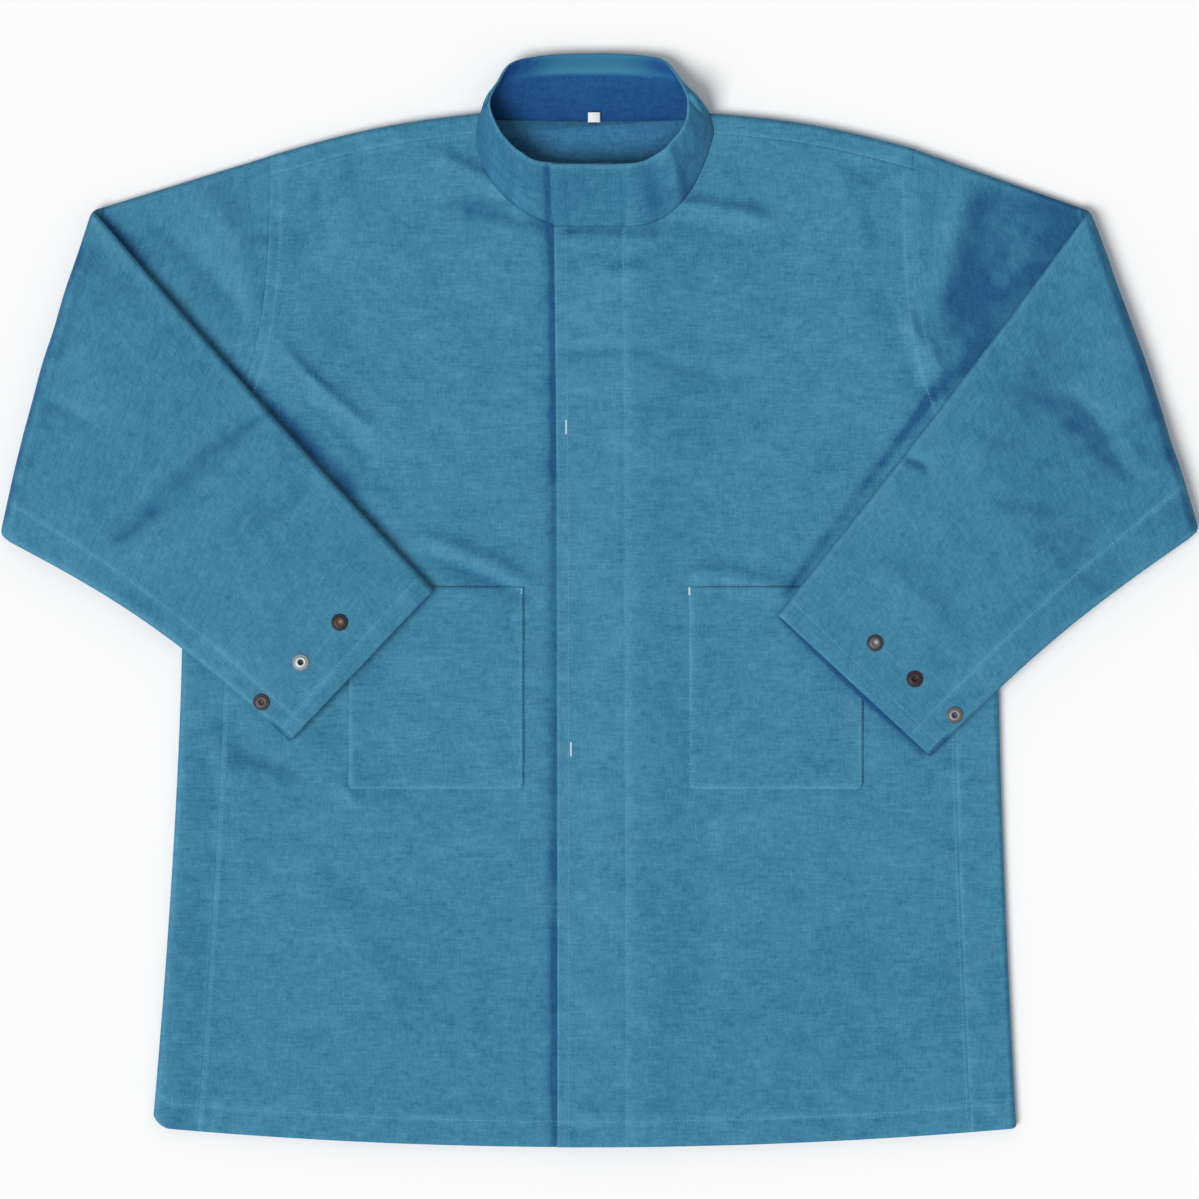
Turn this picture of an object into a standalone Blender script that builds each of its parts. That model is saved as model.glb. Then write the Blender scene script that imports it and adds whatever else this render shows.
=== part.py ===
# Work jacket lying flat, front up, with both sleeves folded across the front.
# Metres, +X to the wearer's left, +Y towards the collar, +Z up from the surface that it lies on.
# Every piece of cloth is an open surface through the middle of the cloth, thickened by Solidify.

import math

import bmesh
import bpy
import numpy as np
from mathutils import Vector

# Driving sizes of the cut garment
back_length = 0.762
chest_width = 0.6026
hem_width = 0.638
shoulder_width = 0.4763
shoulder_drop = 0.030
shoulder_bow = 0.0045
armpit_height = 0.494
armpit_curve = 0.24
shoulder_curve = 0.50
neck_width = 0.1676
neck_drop = 0.0825
neck_sag = 0.0015
underlap_rise = 0.0017
level_neck_share = 0.35
side_wrap = 0.033
flare_height = 0.380
flare_power = 1.5
shoulder_wrap = 0.0145
neck_slant_below = 0.75
neck_slant_above = 0.22
hem_dip = 0.014
placket_width = 0.051
placket_lean = 0.004
lean_power = 4
lean_offset_share = 0.35
underlap_width = 0.0445
collar_height = 0.045
upper_arm_length = 0.137
sleeve_width = 0.248
forearm_length = 0.3765
cuff_width = 0.1525
pocket_width = 0.130
pocket_height = 0.150
pocket_corner = 0.006
pocket_base_height = 0.2635
snap_diameter = 0.0125
snap_thickness = 0.0015
snap_inset = 0.0343
tag_width = 0.009
tag_height = 0.0075
tag_shift = 0.003

# Cloth, clearances and the space that is left inside
cloth = 0.0012
gap = 0.0003
body_loft = 0.0060
body_crown = 0.0025
fold_fade = 4
sleeve_loft = 0.0054
sleeve_crown = 0.0016
fold_reach = 0.0090
inner_fold = 0.0022
fold_relax = 0.035
collar_bulge = 0.0050
collar_seam_gap = 0.0010
shoulder_ease = 0.0005
collar_lean_in = 0.6
seam_stop = 0.004
neck_stop = 0.002
armpit_ease = 0.0008
ease_power = 6
placket_margin = 0.006
placket_ramp = 0.028
facing_drop = 0.018
snap_dip_ramp = 0.012
snap_play = 0.0004
tag_thickness = 0.0010
tag_lift = 0.0006

# Levels of the middle of the cloth
layer = cloth + gap
floor_level = cloth / 2
top_level = floor_level + cloth + body_loft
edge_radius = (top_level - floor_level) / 2

# Each sleeve as it lies: angles in degrees, signs and outlines for the wearer's right and left
SLEEVE_COLUMNS = ("side", "sign", "arm_drop", "fold_lean", "forearm_drop", "cuff_drop",
                  "fold_bow", "upper_bow", "under_bow", "first_snap", "snap_pitch")
SLEEVES = (
    ("right", -1, 17.2, 15.8, 48.1, 46.4, 0.018, -0.008, -0.028, 0.425, 0.265),
    ("left", 1, 19.6, 18.8, 52.3, 42.8, 0.010, -0.006, -0.020, 0.44, 0.2525),
)

# Each side of the body: half widths as shares of the widths, pocket edge as a share of chest width
# and how much of the shoulder drop each shoulder has as it lies
SIDE_COLUMNS = ("side", "sign", "hem_share", "shoulder_share", "neck_share", "pocket_inner_share",
                "drop_share")
SIDES = (
    ("right", -1, 0.5055, 0.4962, 0.4757, 0.081, 1.00),
    ("left", 1, 0.4935, 0.5038, 0.5243, 0.119, 0.83),
)

# Front neckline of each side: how far the curve first leans in and where it turns, as shares of
# half the neck width across and of the neck drop down
NECKLINE_COLUMNS = ("sign", "first_in", "first_down", "second_across", "second_down")
NECKLINES = (
    (-1, 0.00, 0.48, 0.70, 0.84),
    (1, 0.10, 0.48, 0.78, 1.00),
)

# Broad folds and dents of the front: ends as shares of chest width and back length,
# width as a share of chest width, height as a share of the body crown
FOLD_COLUMNS = ("name", "x0", "y0", "x1", "y1", "width", "height")
FOLDS = (
    ("right shoulder drag", -0.370, 0.770, -0.260, 0.705, 0.050, 0.60),
    ("right chest dent", -0.450, 0.930, -0.355, 0.870, 0.060, -0.40),
    ("placket ripple upper", 0.010, 0.850, 0.090, 0.850, 0.060, -0.30),
    ("placket ripple lower", -0.035, 0.770, 0.170, 0.746, 0.060, -0.35),
    ("right belly dent", -0.425, 0.370, -0.365, 0.365, 0.060, -0.45),
    ("left armhole drag", 0.300, 0.800, 0.390, 0.735, 0.050, 0.50),
    ("left hem wave", 0.180, 0.020, 0.260, 0.330, 0.080, 0.40),
    ("right hem wave", -0.300, 0.020, -0.220, 0.300, 0.080, 0.35),
)

# Top edge of the collar along the neckline: share of the way round, place as shares of half the
# neck width across and of the collar height up from the back neck, height as a share of collar height
COLLAR_COLUMNS = ("along", "across", "up", "height")
COLLAR_TOP = (
    (0.000, 0.194, -0.804, 0.42),
    (0.080, -0.282, -0.804, 0.43),
    (0.120, -0.476, -0.755, 0.46),
    (0.158, -0.626, -0.607, 0.53),
    (0.198, -0.749, -0.394, 0.58),
    (0.237, -0.837, -0.115, 0.62),
    (0.277, -0.881, 0.181, 0.62),
    (0.326, -0.802, 0.541, 0.46),
    (0.366, -0.696, 0.837, 0.27),
    (0.406, -0.485, 0.952, 0.18),
    (0.486, 0.018, 1.009, 0.13),
    (0.565, 0.485, 0.968, 0.17),
    (0.605, 0.652, 0.886, 0.24),
    (0.650, 0.793, 0.541, 0.44),
    (0.694, 0.855, 0.181, 0.62),
    (0.738, 0.837, -0.115, 0.64),
    (0.782, 0.758, -0.361, 0.61),
    (0.825, 0.634, -0.607, 0.55),
    (0.869, 0.441, -0.788, 0.48),
    (0.913, 0.194, -0.820, 0.46),
    (1.000, -0.344, -0.820, 0.46),
)

# Grid counts
BODY_ROWS = 16
NECK_ROWS = 7
PANEL_COLUMNS = 8
HEM_COLUMNS = 10
NECK_COLUMNS = 8
EDGE_STEPS = 6
BEND_STEPS = 8
FOREARM_STEPS = 8
UPPER_ARM_STEPS = 4
SLEEVE_LANES = 9
SLEEVE_EDGE_STEPS = 5
COLLAR_STEPS = 5
POCKET_ROWS = 6
POCKET_COLUMNS = 6
FACING_COLUMNS = 3
SNAP_SIDES = 12
FRONT_SNAP_COUNT = 5
CUFF_SNAP_COUNT = 3


def named(columns, rows):
    """The rows of a table as dictionaries with the columns' names."""
    return [dict(zip(columns, row)) for row in rows]


sides = {row["sign"]: row for row in named(SIDE_COLUMNS, SIDES)}
sleeves = {row["sign"]: row for row in named(SLEEVE_COLUMNS, SLEEVES)}
necklines = {row["sign"]: row for row in named(NECKLINE_COLUMNS, NECKLINES)}
folds = named(FOLD_COLUMNS, FOLDS)
collar_top = named(COLLAR_COLUMNS, COLLAR_TOP)


def vec(*values):
    return np.array(values, float)


def unit(v):
    return v / np.linalg.norm(v)


def mix(a, b, share):
    return a + (b - a) * share


def bezier(p0, p1, p2, p3, t):
    """A point on a cubic curve."""
    s = 1 - t
    return p0 * s**3 + p1 * (3 * s * s * t) + p2 * (3 * s * t * t) + p3 * t**3


def smooth_rows(rows, key, column, at):
    """A smooth reading of one column of a table along another."""
    xs = [row[key] for row in rows]
    ys = [row[column] for row in rows]
    i = min(max(np.searchsorted(xs, at, side="right") - 1, 0), len(xs) - 2)
    slopes = [(ys[k + 1] - ys[k]) / (xs[k + 1] - xs[k]) for k in range(len(xs) - 1)]
    start = slopes[i] if i == 0 else (slopes[i - 1] + slopes[i]) / 2
    end = slopes[i] if i == len(slopes) - 1 else (slopes[i] + slopes[i + 1]) / 2
    width = xs[i + 1] - xs[i]
    t = (at - xs[i]) / width
    a = (1 + 2 * t) * (1 - t) ** 2 * ys[i] + t * (1 - t) ** 2 * width * start
    b = t * t * (3 - 2 * t) * ys[i + 1] + t * t * (t - 1) * width * end
    return a + b


def ramp(value):
    """0 before 0, 1 after 1, smooth between."""
    t = min(max(value, 0.0), 1.0)
    return t * t * (3 - 2 * t)


def fold_height(x, y):
    """How far the broad folds lift or sink the front."""
    total = 0.0
    for fold in folds:
        start = vec(fold["x0"] * chest_width, fold["y0"] * back_length)
        end = vec(fold["x1"] * chest_width, fold["y1"] * back_length)
        line = end - start
        here = vec(x, y) - start
        share = min(max(float(here @ line) / float(line @ line), 0.0), 1.0)
        away = np.linalg.norm(here - line * share) / (fold["width"] * chest_width)
        total += fold["height"] * math.exp(-away * away)
    return total * body_crown


def front_level(x, y):
    """Middle of the cloth on the upper side of the body and of the upper arms."""
    crown = max(0.0, 1 - (2 * x / chest_width) ** 2)
    fade = ramp(crown * fold_fade)
    return top_level + body_crown * crown + fold_height(x, y) * fade


def hem_line(x):
    """Height of the bottom edge, lowest in the middle."""
    return hem_dip * (2 * x / hem_width) ** 2


def side_fold(sign, y):
    """Outermost place of the side of the body, as far as the middle of its cloth."""
    flare = max(0.0, 1 - y / flare_height) ** flare_power
    half_hem = sides[sign]["hem_share"] * hem_width
    return sign * (mix(chest_width / 2, half_hem, flare) - cloth / 2)


def shoulder_tip(sign):
    across = sides[sign]["shoulder_share"] * shoulder_width
    return vec(sign * across, back_length - sides[sign]["drop_share"] * shoulder_drop)


def neck_tip(sign):
    across = sides[sign]["neck_share"] * neck_width
    return vec(sign * across, back_length + neck_sag)


def armpit(sign):
    return vec(side_fold(sign, armpit_height), armpit_height)


def armhole_points(sign):
    """The armhole seam from the armpit to the top of the shoulder, in plan."""
    low = armpit(sign)
    high = shoulder_tip(sign)
    depth = high[1] - low[1]
    near_low = low + vec(-sign, 1) * armpit_curve * depth
    near_high = high - vec(0, 1) * shoulder_curve * depth
    return [bezier(low, near_low, near_high, high, t) for t in np.linspace(0, 1, 61)]


def along(points, share):
    """The place at a share of the length of a line of points."""
    line = np.array(points)
    steps = np.linalg.norm(np.diff(line, axis=0), axis=1)
    reached = np.concatenate([[0.0], np.cumsum(steps)])
    return np.array([np.interp(share * reached[-1], reached, line[:, k]) for k in range(2)])


def armhole_insets(sign):
    """Shares of the armhole taken by the folds at the shoulder and at the armpit."""
    line = np.array(armhole_points(sign))
    length = np.linalg.norm(np.diff(line, axis=0), axis=1).sum()
    return edge_radius / length, edge_radius * math.sqrt(2) / length


def armhole_stops(sign):
    """Places on the armhole, from the armpit up, that the body and the sleeve both use."""
    high, low = armhole_insets(sign)
    return [along(armhole_points(sign), share) for share in np.linspace(low, 1 - high, SLEEVE_LANES)]


def armhole_up(sign, x):
    """Where the armhole seam is at a place across, near the armpit."""
    line = np.array(armhole_points(sign))[:40]
    order = np.argsort(line[:, 0])
    return float(np.interp(x, line[order, 0], line[order, 1]))


def shoulder_fold(sign, share):
    """The outline of the shoulder from its tip at 0 to the neck at 1."""
    bow = vec(0, shoulder_bow * math.sin(math.pi * share))
    return mix(shoulder_tip(sign), neck_tip(sign), share) + bow - vec(0, cloth / 2)


def shoulder_inward(sign, share, level_share):
    """Which way a shoulder strip runs in from the fold, for each unit down the body."""
    floor_way = vec(-sign * neck_slant_below, -1)
    top_way = vec(sign * neck_slant_above, -1)
    return mix(vec(0, -1), mix(floor_way, top_way, level_share), ramp(share))


def neck_front_point(sign):
    """Where the forward shoulder seam meets the neckline."""
    return shoulder_fold(sign, 1) + shoulder_inward(sign, 1, 1) * shoulder_wrap


def front_neck_height():
    return back_length - neck_drop


def placket_edge(y):
    """The overlapping edge of the wearer's left front."""
    lean = placket_lean * max(0.0, y / back_length) ** lean_power
    return -placket_width / 2 - lean + placket_lean * lean_offset_share


def underlap_edge(y):
    """The straight edge of the wearer's right front, under the placket at every height."""
    return placket_edge(min(y, 0.0)) + underlap_width


def front_neck_curve(sign, t):
    """The front neckline from the shoulder seam at 0 to the front at 1, in plan."""
    start = neck_front_point(sign)
    bottom = front_neck_height()
    half = neck_width / 2
    row = necklines[sign]
    if sign < 0:
        end = vec(placket_edge(bottom), bottom + underlap_rise)
    else:
        end = vec(half * level_neck_share, bottom)
    first = vec(start[0] - sign * row["first_in"] * half, mix(start[1], bottom, row["first_down"]))
    second = vec(sign * half * row["second_across"], mix(start[1], bottom, row["second_down"]))
    return bezier(start, first, second, end, t)


def placket_lift(x, y):
    """How much higher the wearer's left front lies over the facing and the underlap."""
    start = placket_edge(y) + placket_width + placket_margin
    return 2 * layer * (1 - ramp((x - start) / placket_ramp))


def snap_dip(x, y):
    """How far the underlap sinks under the hidden snaps."""
    start = placket_edge(y) + snap_diameter / 2
    return (snap_thickness + gap + 2 * snap_play) * ramp((x - start) / snap_dip_ramp)


def right_front_level(x, y):
    return front_level(x, y) - snap_dip(x, y)


def left_front_level(x, y):
    return front_level(x, y) + placket_lift(x, y)


# Sleeve outlines in plan


def sleeve_frame(sign):
    """Corners and inward direction of one folded sleeve."""
    row = sleeves[sign]
    drop = math.radians(row["arm_drop"])
    lean = math.radians(row["fold_lean"])
    fall = math.radians(row["forearm_drop"])
    cuff = math.radians(row["cuff_drop"])
    shoulder = shoulder_fold(sign, 0)
    top = shoulder + vec(sign * math.cos(drop), -math.sin(drop)) * upper_arm_length
    fold_way = vec(sign * math.sin(lean), -math.cos(lean))
    bottom = top + fold_way * sleeve_width
    cuff_top = top + vec(-sign * math.cos(fall), -math.sin(fall)) * forearm_length
    cuff_bottom = cuff_top + vec(sign * math.cos(cuff), -math.sin(cuff)) * cuff_width
    inward = vec(-sign * math.cos(lean), -math.sin(lean))
    return {"row": row, "sign": sign, "top": top, "bottom": bottom, "cuff_top": cuff_top,
            "cuff_bottom": cuff_bottom, "inward": inward}


def fold_line(frame, t):
    """The outer edge that the sleeve is folded on, from the shoulder side at 0."""
    bow = -frame["inward"] * frame["row"]["fold_bow"] * sleeve_width * math.sin(math.pi * t)
    return mix(frame["top"], frame["bottom"], t) + bow


def armhole_line(frame, t):
    """The armhole from the shoulder at 0 to the armpit at 1, a seam's gap off the body."""
    sign = frame["sign"]
    place = along(armhole_points(sign)[::-1], t)
    if t < 0.001:
        place = shoulder_fold(sign, 0)
    return place + vec(sign, t) * (gap + armpit_ease * t**ease_power)


def cuff_line(frame, t):
    return mix(frame["cuff_top"], frame["cuff_bottom"], t)


def forearm_plan(frame, s, t):
    """A place on the folded-over forearm: s from the fold to the cuff, t across it."""
    row = frame["row"]
    across = unit(frame["bottom"] - frame["top"])
    hump = math.sin(math.pi * s)
    upper = -across * row["upper_bow"] * forearm_length * hump * (1 - t)
    under = across * row["under_bow"] * forearm_length * hump * t
    return mix(fold_line(frame, t), cuff_line(frame, t), s) + upper + under


def upper_arm_plan(frame, s, t):
    return mix(fold_line(frame, t), armhole_line(frame, t), s)


def bend_way(frame, t, far_line):
    """Which way a lane runs in from the fold, for each unit of depth."""
    way = far_line(frame, t) - fold_line(frame, t)
    return way / float(way @ frame["inward"])


def forearm_rest(x, y):
    """Middle of the lower cloth of a forearm where it lies on the front and on a pocket."""
    return front_level(x, y) + 2 * layer


def forearm_levels(frame, place, t, depth):
    """Levels of the lower and the upper cloth of a forearm."""
    x, y = place
    near = math.exp(-max(0.0, depth - fold_reach) / fold_relax)
    lower = forearm_rest(x, y) + max(0.0, 2 * inner_fold - 2 * layer) * near
    puff = sleeve_crown * math.sin(math.pi * min(max(t, 0.0), 1.0))
    return lower, lower + cloth + sleeve_loft + puff


def sleeve_stations(frame):
    """Stations from the armhole over the fold to the cuff, each a function of the lane."""
    stations = []
    for s in np.linspace(1, 0, UPPER_ARM_STEPS + 1)[:-1]:
        stations.append(("upper", s))
    for angle in np.linspace(-90, 90, BEND_STEPS + 1):
        stations.append(("bend", angle))
    for s in np.linspace(0, 1, FOREARM_STEPS + 1)[1:]:
        stations.append(("forearm", s))
    return stations


def lane_point(frame, station, t):
    """The inner and the outer cloth of a sleeve at one lane of one station."""
    kind, value = station
    if kind == "upper":
        start = fold_line(frame, t) + bend_way(frame, t, armhole_line) * fold_reach
        place = mix(start, armhole_line(frame, t), value)
        return vec(*place, front_level(*place)), vec(*place, floor_level)
    if kind == "forearm":
        start = fold_line(frame, t) + bend_way(frame, t, cuff_line) * fold_reach
        place = forearm_plan(frame, value, t) + (start - fold_line(frame, t)) * (1 - value)
        depth = float((place - fold_line(frame, t)) @ frame["inward"])
        lower, upper = forearm_levels(frame, place, t, depth)
        return vec(*place, lower), vec(*place, upper)
    angle = math.radians(value)
    far = armhole_line if value < 0 else cuff_line
    way = bend_way(frame, t, far)
    outer_place = fold_line(frame, t) + way * fold_reach * (1 - math.cos(angle))
    inner_place = fold_line(frame, t) + way * (fold_reach - inner_fold * math.cos(angle))
    edge = fold_line(frame, t) + bend_way(frame, t, cuff_line) * fold_reach
    low_edge = fold_line(frame, t) + bend_way(frame, t, armhole_line) * fold_reach
    lower, upper = forearm_levels(frame, edge, t, fold_reach)
    low = front_level(*low_edge)
    share = (1 + math.sin(angle)) / 2
    inner = vec(*inner_place, mix(low, lower, share))
    outer = vec(*outer_place, mix(floor_level, upper, share))
    return inner, outer


def sleeve_section(frame, station):
    """One closed section of a sleeve: inner cloth, lower edge, outer cloth, upper edge."""
    ends = [lane_point(frame, station, t)[0] for t in (0.0, 1.0)]
    length = np.linalg.norm(ends[1][:2] - ends[0][:2])
    start_inset = edge_radius / length
    end_inset = start_inset
    if station[0] == "upper":
        seam_start, seam_end = armhole_insets(frame["sign"])
        start_inset = mix(start_inset, seam_start, station[1])
        end_inset = mix(end_inset, seam_end, station[1])
    lanes = np.linspace(start_inset, 1 - end_inset, SLEEVE_LANES)
    pairs = [lane_point(frame, station, t) for t in lanes]
    turns = [math.radians(a) for a in np.linspace(90, -90, SLEEVE_EDGE_STEPS + 1)[1:-1]]

    def edge(t_edge, pair):
        tip = lane_point(frame, station, t_edge)
        points = []
        for turn in turns:
            share = (1 - math.sin(turn)) / 2
            out = (tip[0] - pair[0]) * (1 - share) + (tip[1] - pair[1]) * share
            points.append(mix(pair[0], pair[1], share) + out * math.cos(turn))
        return points

    inner_run = [pair[0] for pair in pairs]
    outer_run = [pair[1] for pair in pairs]
    lower_edge = edge(1.0, pairs[-1])
    upper_edge = edge(0.0, pairs[0])
    return inner_run + lower_edge + outer_run[::-1] + upper_edge[::-1]


# Where the jacket's own middle lies, so that the origin is under the middle of its outline


def outline_middle():
    reach = [sleeve_frame(sign)["bottom"][0] for sign in (-1, 1)]
    collar_reach = max(row["up"] for row in collar_top) * collar_height + back_length
    return vec(sum(reach) / 2, collar_reach / 2)


middle = outline_middle()


def placed(point):
    return (point[0] - middle[0], point[1] - middle[1], point[2])


# Making of objects


def clear_scene():
    for thing in list(bpy.data.objects):
        bpy.data.objects.remove(thing, do_unlink=True)


def cloth_material(name, colour):
    """Woven cotton, one tone for each kind of piece."""
    material = bpy.data.materials.new(name)
    material.use_nodes = True
    shader = material.node_tree.nodes["Principled BSDF"]
    shader.inputs["Base Color"].default_value = (*colour, 1)
    shader.inputs["Roughness"].default_value = 0.9
    shader.inputs["Metallic"].default_value = 0.0
    return material


def metal_material(name, colour):
    """Brushed metal of a snap."""
    material = bpy.data.materials.new(name)
    material.use_nodes = True
    shader = material.node_tree.nodes["Principled BSDF"]
    shader.inputs["Base Color"].default_value = (*colour, 1)
    shader.inputs["Roughness"].default_value = 0.35
    shader.inputs["Metallic"].default_value = 1.0
    return material


def surface_mesh(name, blocks):
    """One mesh from grids of points; grids that share an edge are joined along it."""
    found = {}
    vertices = []
    faces = []

    def index(point):
        key = tuple(round(float(c), 7) for c in point)
        if key not in found:
            found[key] = len(vertices)
            vertices.append(placed(point))
        return found[key]

    for grid, cyclic in blocks:
        ids = [[index(point) for point in row] for row in grid]
        if len(ids) == 1:
            faces.append(tuple(dict.fromkeys(ids[0])))
        for low, high in zip(ids, ids[1:]):
            count = len(low) if cyclic else len(low) - 1
            for i in range(count):
                j = (i + 1) % len(low)
                corners = (low[i], low[j], high[j], high[i])
                if len(set(corners)) == 4:
                    faces.append(corners)
    mesh = bpy.data.meshes.new(name)
    mesh.from_pydata(vertices, [], faces)
    work = bmesh.new()
    work.from_mesh(mesh)
    bmesh.ops.recalc_face_normals(work, faces=work.faces)
    work.to_mesh(mesh)
    work.free()
    return mesh


def cloth_object(name, blocks, material, collection):
    """A piece of cloth with its thickness."""
    mesh = surface_mesh(name, blocks)
    mesh.materials.append(material)
    thing = bpy.data.objects.new(name, mesh)
    collection.objects.link(thing)
    thick = thing.modifiers.new("cloth", "SOLIDIFY")
    thick.thickness = cloth
    thick.offset = 0
    thick.use_even_offset = True
    mesh.shade_smooth()
    mesh.set_sharp_from_angle(angle=math.radians(50))
    return thing


def raised(grid, level):
    return [[vec(p[0], p[1], level(p[0], p[1])) for p in row] for row in grid]


# Back panel


def column_shares(sign):
    """Shares across a front panel, from the side to its front edge, with lines along the placket."""
    half = chest_width / 2 - side_wrap
    if sign > 0:
        width = half - placket_edge(0)
        flat = placket_width + placket_margin
        depths = [0.0, placket_width / 2, flat, flat + placket_ramp / 2, flat + placket_ramp]
    else:
        width = half + underlap_edge(0)
        dipped = underlap_width - snap_diameter / 2 - snap_dip_ramp
        depths = [0.0, dipped / 2, dipped, dipped + snap_dip_ramp, dipped + 2 * snap_dip_ramp]
    rest = np.linspace(width, depths[-1], PANEL_COLUMNS + 1)
    line = list(rest) + depths[::-1][1:]
    return [1 - depth / width for depth in line]


def strip_depths(wrap):
    """Depths in from the fold and level shares of one wrapped strip, from the floor to the seam."""
    steps = []
    for a in np.linspace(-90, 90, EDGE_STEPS + 1):
        turn = math.radians(a)
        steps.append((edge_radius * (1 - math.cos(turn)), (1 + math.sin(turn)) / 2))
    for share in (0.5, 1.0):
        steps.append((mix(edge_radius, wrap, share), 1.0))
    return steps


def strip_point(place, level_share):
    return vec(*place, mix(floor_level, front_level(*place), level_share))


def side_strip(sign):
    """The back wrapped round one side, up to the side seam on the front."""
    grid = []
    for row in np.linspace(0, 1, BODY_ROWS + 1):
        line = []
        for depth, level_share in strip_depths(side_wrap):
            x_high = side_fold(sign, armpit_height) - sign * depth
            high = armhole_up(sign, x_high)
            x_low = side_fold(sign, 0) - sign * depth
            low = hem_line(x_low)
            y = mix(low, high, row)
            x = side_fold(sign, row * armpit_height) - sign * depth
            line.append(strip_point(vec(x, y), level_share))
        grid.append(line)
    return grid


def shoulder_strip(sign):
    """The back wrapped over one shoulder, up to the forward shoulder seam."""
    grid = []
    for share in column_shares(sign)[::2]:
        line = []
        for depth, level_share in strip_depths(shoulder_wrap):
            way = shoulder_inward(sign, share, level_share)
            place = shoulder_fold(sign, share) + way * depth
            line.append(strip_point(place, level_share))
        grid.append(line)
    return grid


def floor_edge(sign):
    """The side of the flat part of the back, from the hem up round the armhole."""
    low = [strip[0][:2] for strip in side_strip(sign)]
    top = shoulder_strip(sign)[0][0][:2]
    return low + armhole_stops(sign)[1:-1] + [top]


def back_panel(collection):
    right_top = [row[0][:2] for row in shoulder_strip(-1)]
    left_top = [row[0][:2] for row in shoulder_strip(1)][::-1]
    neck = [mix(right_top[-1], left_top[0], u) for u in np.linspace(0, 1, NECK_COLUMNS + 1)]
    neck = [p - vec(0, neck_sag * math.sin(math.pi * i / NECK_COLUMNS)) for i, p in enumerate(neck)]
    top = right_top + neck[1:-1] + left_top
    left = floor_edge(-1)
    right = floor_edge(1)
    bottom = [vec(x, hem_line(x)) for x in np.linspace(left[0][0], right[0][0], HEM_COLUMNS + 1)]
    outline = left[:-1] + top[:-1] + right[::-1][:-1] + bottom[::-1][:-1]
    blocks = [([[vec(p[0], p[1], floor_level) for p in outline]], False)]
    blocks += [(side_strip(sign), False) for sign in (-1, 1)]
    blocks += [(shoulder_strip(sign), False) for sign in (-1, 1)]
    material = cloth_material("back_cloth", (0.056, 0.215, 0.343))
    return cloth_object("back_panel", blocks, material, collection)


# Front panels


def front_outer_edge(sign):
    """Side seam and armhole of a front panel, from the hem to the shoulder seam."""
    inset = side_wrap + gap
    low = []
    for row in np.linspace(0, 1, BODY_ROWS + 1):
        x_high = side_fold(sign, armpit_height) - sign * inset
        x_low = side_fold(sign, 0) - sign * inset
        y = mix(hem_line(x_low), armhole_up(sign, x_high), row)
        low.append(vec(side_fold(sign, row * armpit_height) - sign * inset, y))
    end = front_shoulder_point(sign, 0)
    low_stop = low[-1][1] + seam_stop
    high_stop = end[1] - seam_stop
    stops = [p for p in armhole_stops(sign) if low_stop < p[1] < high_stop]
    return low + stops + [end]


def front_shoulder_point(sign, share):
    """The upper edge of a front panel, from the armhole at 0 to the neck at 1."""
    way = shoulder_inward(sign, share, 1)
    return shoulder_fold(sign, share) + way * (shoulder_wrap + gap + shoulder_ease)


def front_inner_edge(sign, edge):
    """The front edge and the neckline of a front panel, from the hem to the shoulder seam."""
    count = len(front_outer_edge(sign)) - 1 - NECK_ROWS
    bottom = front_neck_height()
    low = [vec(edge(0), hem_line(edge(0)))]
    for row in range(1, count + 1):
        y = mix(low[0][1], bottom, row / count)
        low.append(vec(edge(y), y))
    corner = low[-1]
    neck = [front_neck_curve(sign, t) for t in np.linspace(1, 0, 41)]
    neck = [p for p in neck if sign * (p[0] - corner[0]) > neck_stop]
    end = front_shoulder_point(sign, 1)
    line = [corner] + neck[:-1] + [end]
    high = [along(line, share) for share in np.linspace(0, 1, NECK_ROWS + 1)]
    return low + high[1:]


def front_panel(name, sign, edge, level, collection, colour):
    outer = front_outer_edge(sign)
    inner = front_inner_edge(sign, edge)
    shares = column_shares(sign)
    top = [front_shoulder_point(sign, share) for share in shares]
    bottom = [mix(outer[0], inner[0], share) for share in shares]
    bottom = [vec(p[0], hem_line(p[0])) for p in bottom]
    grid = coons_at(bottom, top, outer, inner, shares)
    material = cloth_material(name + "_cloth", colour)
    return cloth_object(name, [(raised(grid, level), False)], material, collection)


def coons_at(bottom, top, left, right, shares):
    """A grid between four edges with its columns at the given shares."""
    grid = []
    rows = len(left)
    for j in range(rows):
        v = ramp_rows(j, left)
        line = []
        for i, u in enumerate(shares):
            across = mix(left[j], right[j], u)
            up = mix(bottom[i], top[i], v)
            corner = mix(mix(bottom[0], bottom[-1], u), mix(top[0], top[-1], u), v)
            line.append(across + up - corner)
        grid.append(line)
    return grid


def ramp_rows(j, left):
    """The share of the height at one row, by the outer edge."""
    return (left[j][1] - left[0][1]) / (left[-1][1] - left[0][1])


# Placket


def fly_facing(collection):
    """The strip behind the placket that the hidden snaps are set in."""
    rows = []
    top = front_neck_height() - facing_drop
    for share in np.linspace(0, 1, 2 * BODY_ROWS):
        row = []
        for u in np.linspace(0, 1, FACING_COLUMNS + 1):
            low_x = mix(placket_edge(0) + gap, placket_edge(0) + placket_width, u)
            y = mix(hem_line(low_x), top, share)
            x = mix(placket_edge(y) + gap, placket_edge(y) + placket_width, u)
            row.append(vec(x, y, front_level(x, y) + layer))
        rows.append(row)
    material = cloth_material("facing_cloth", (0.048, 0.195, 0.318))
    return cloth_object("fly_facing", [(rows, False)], material, collection)


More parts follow.
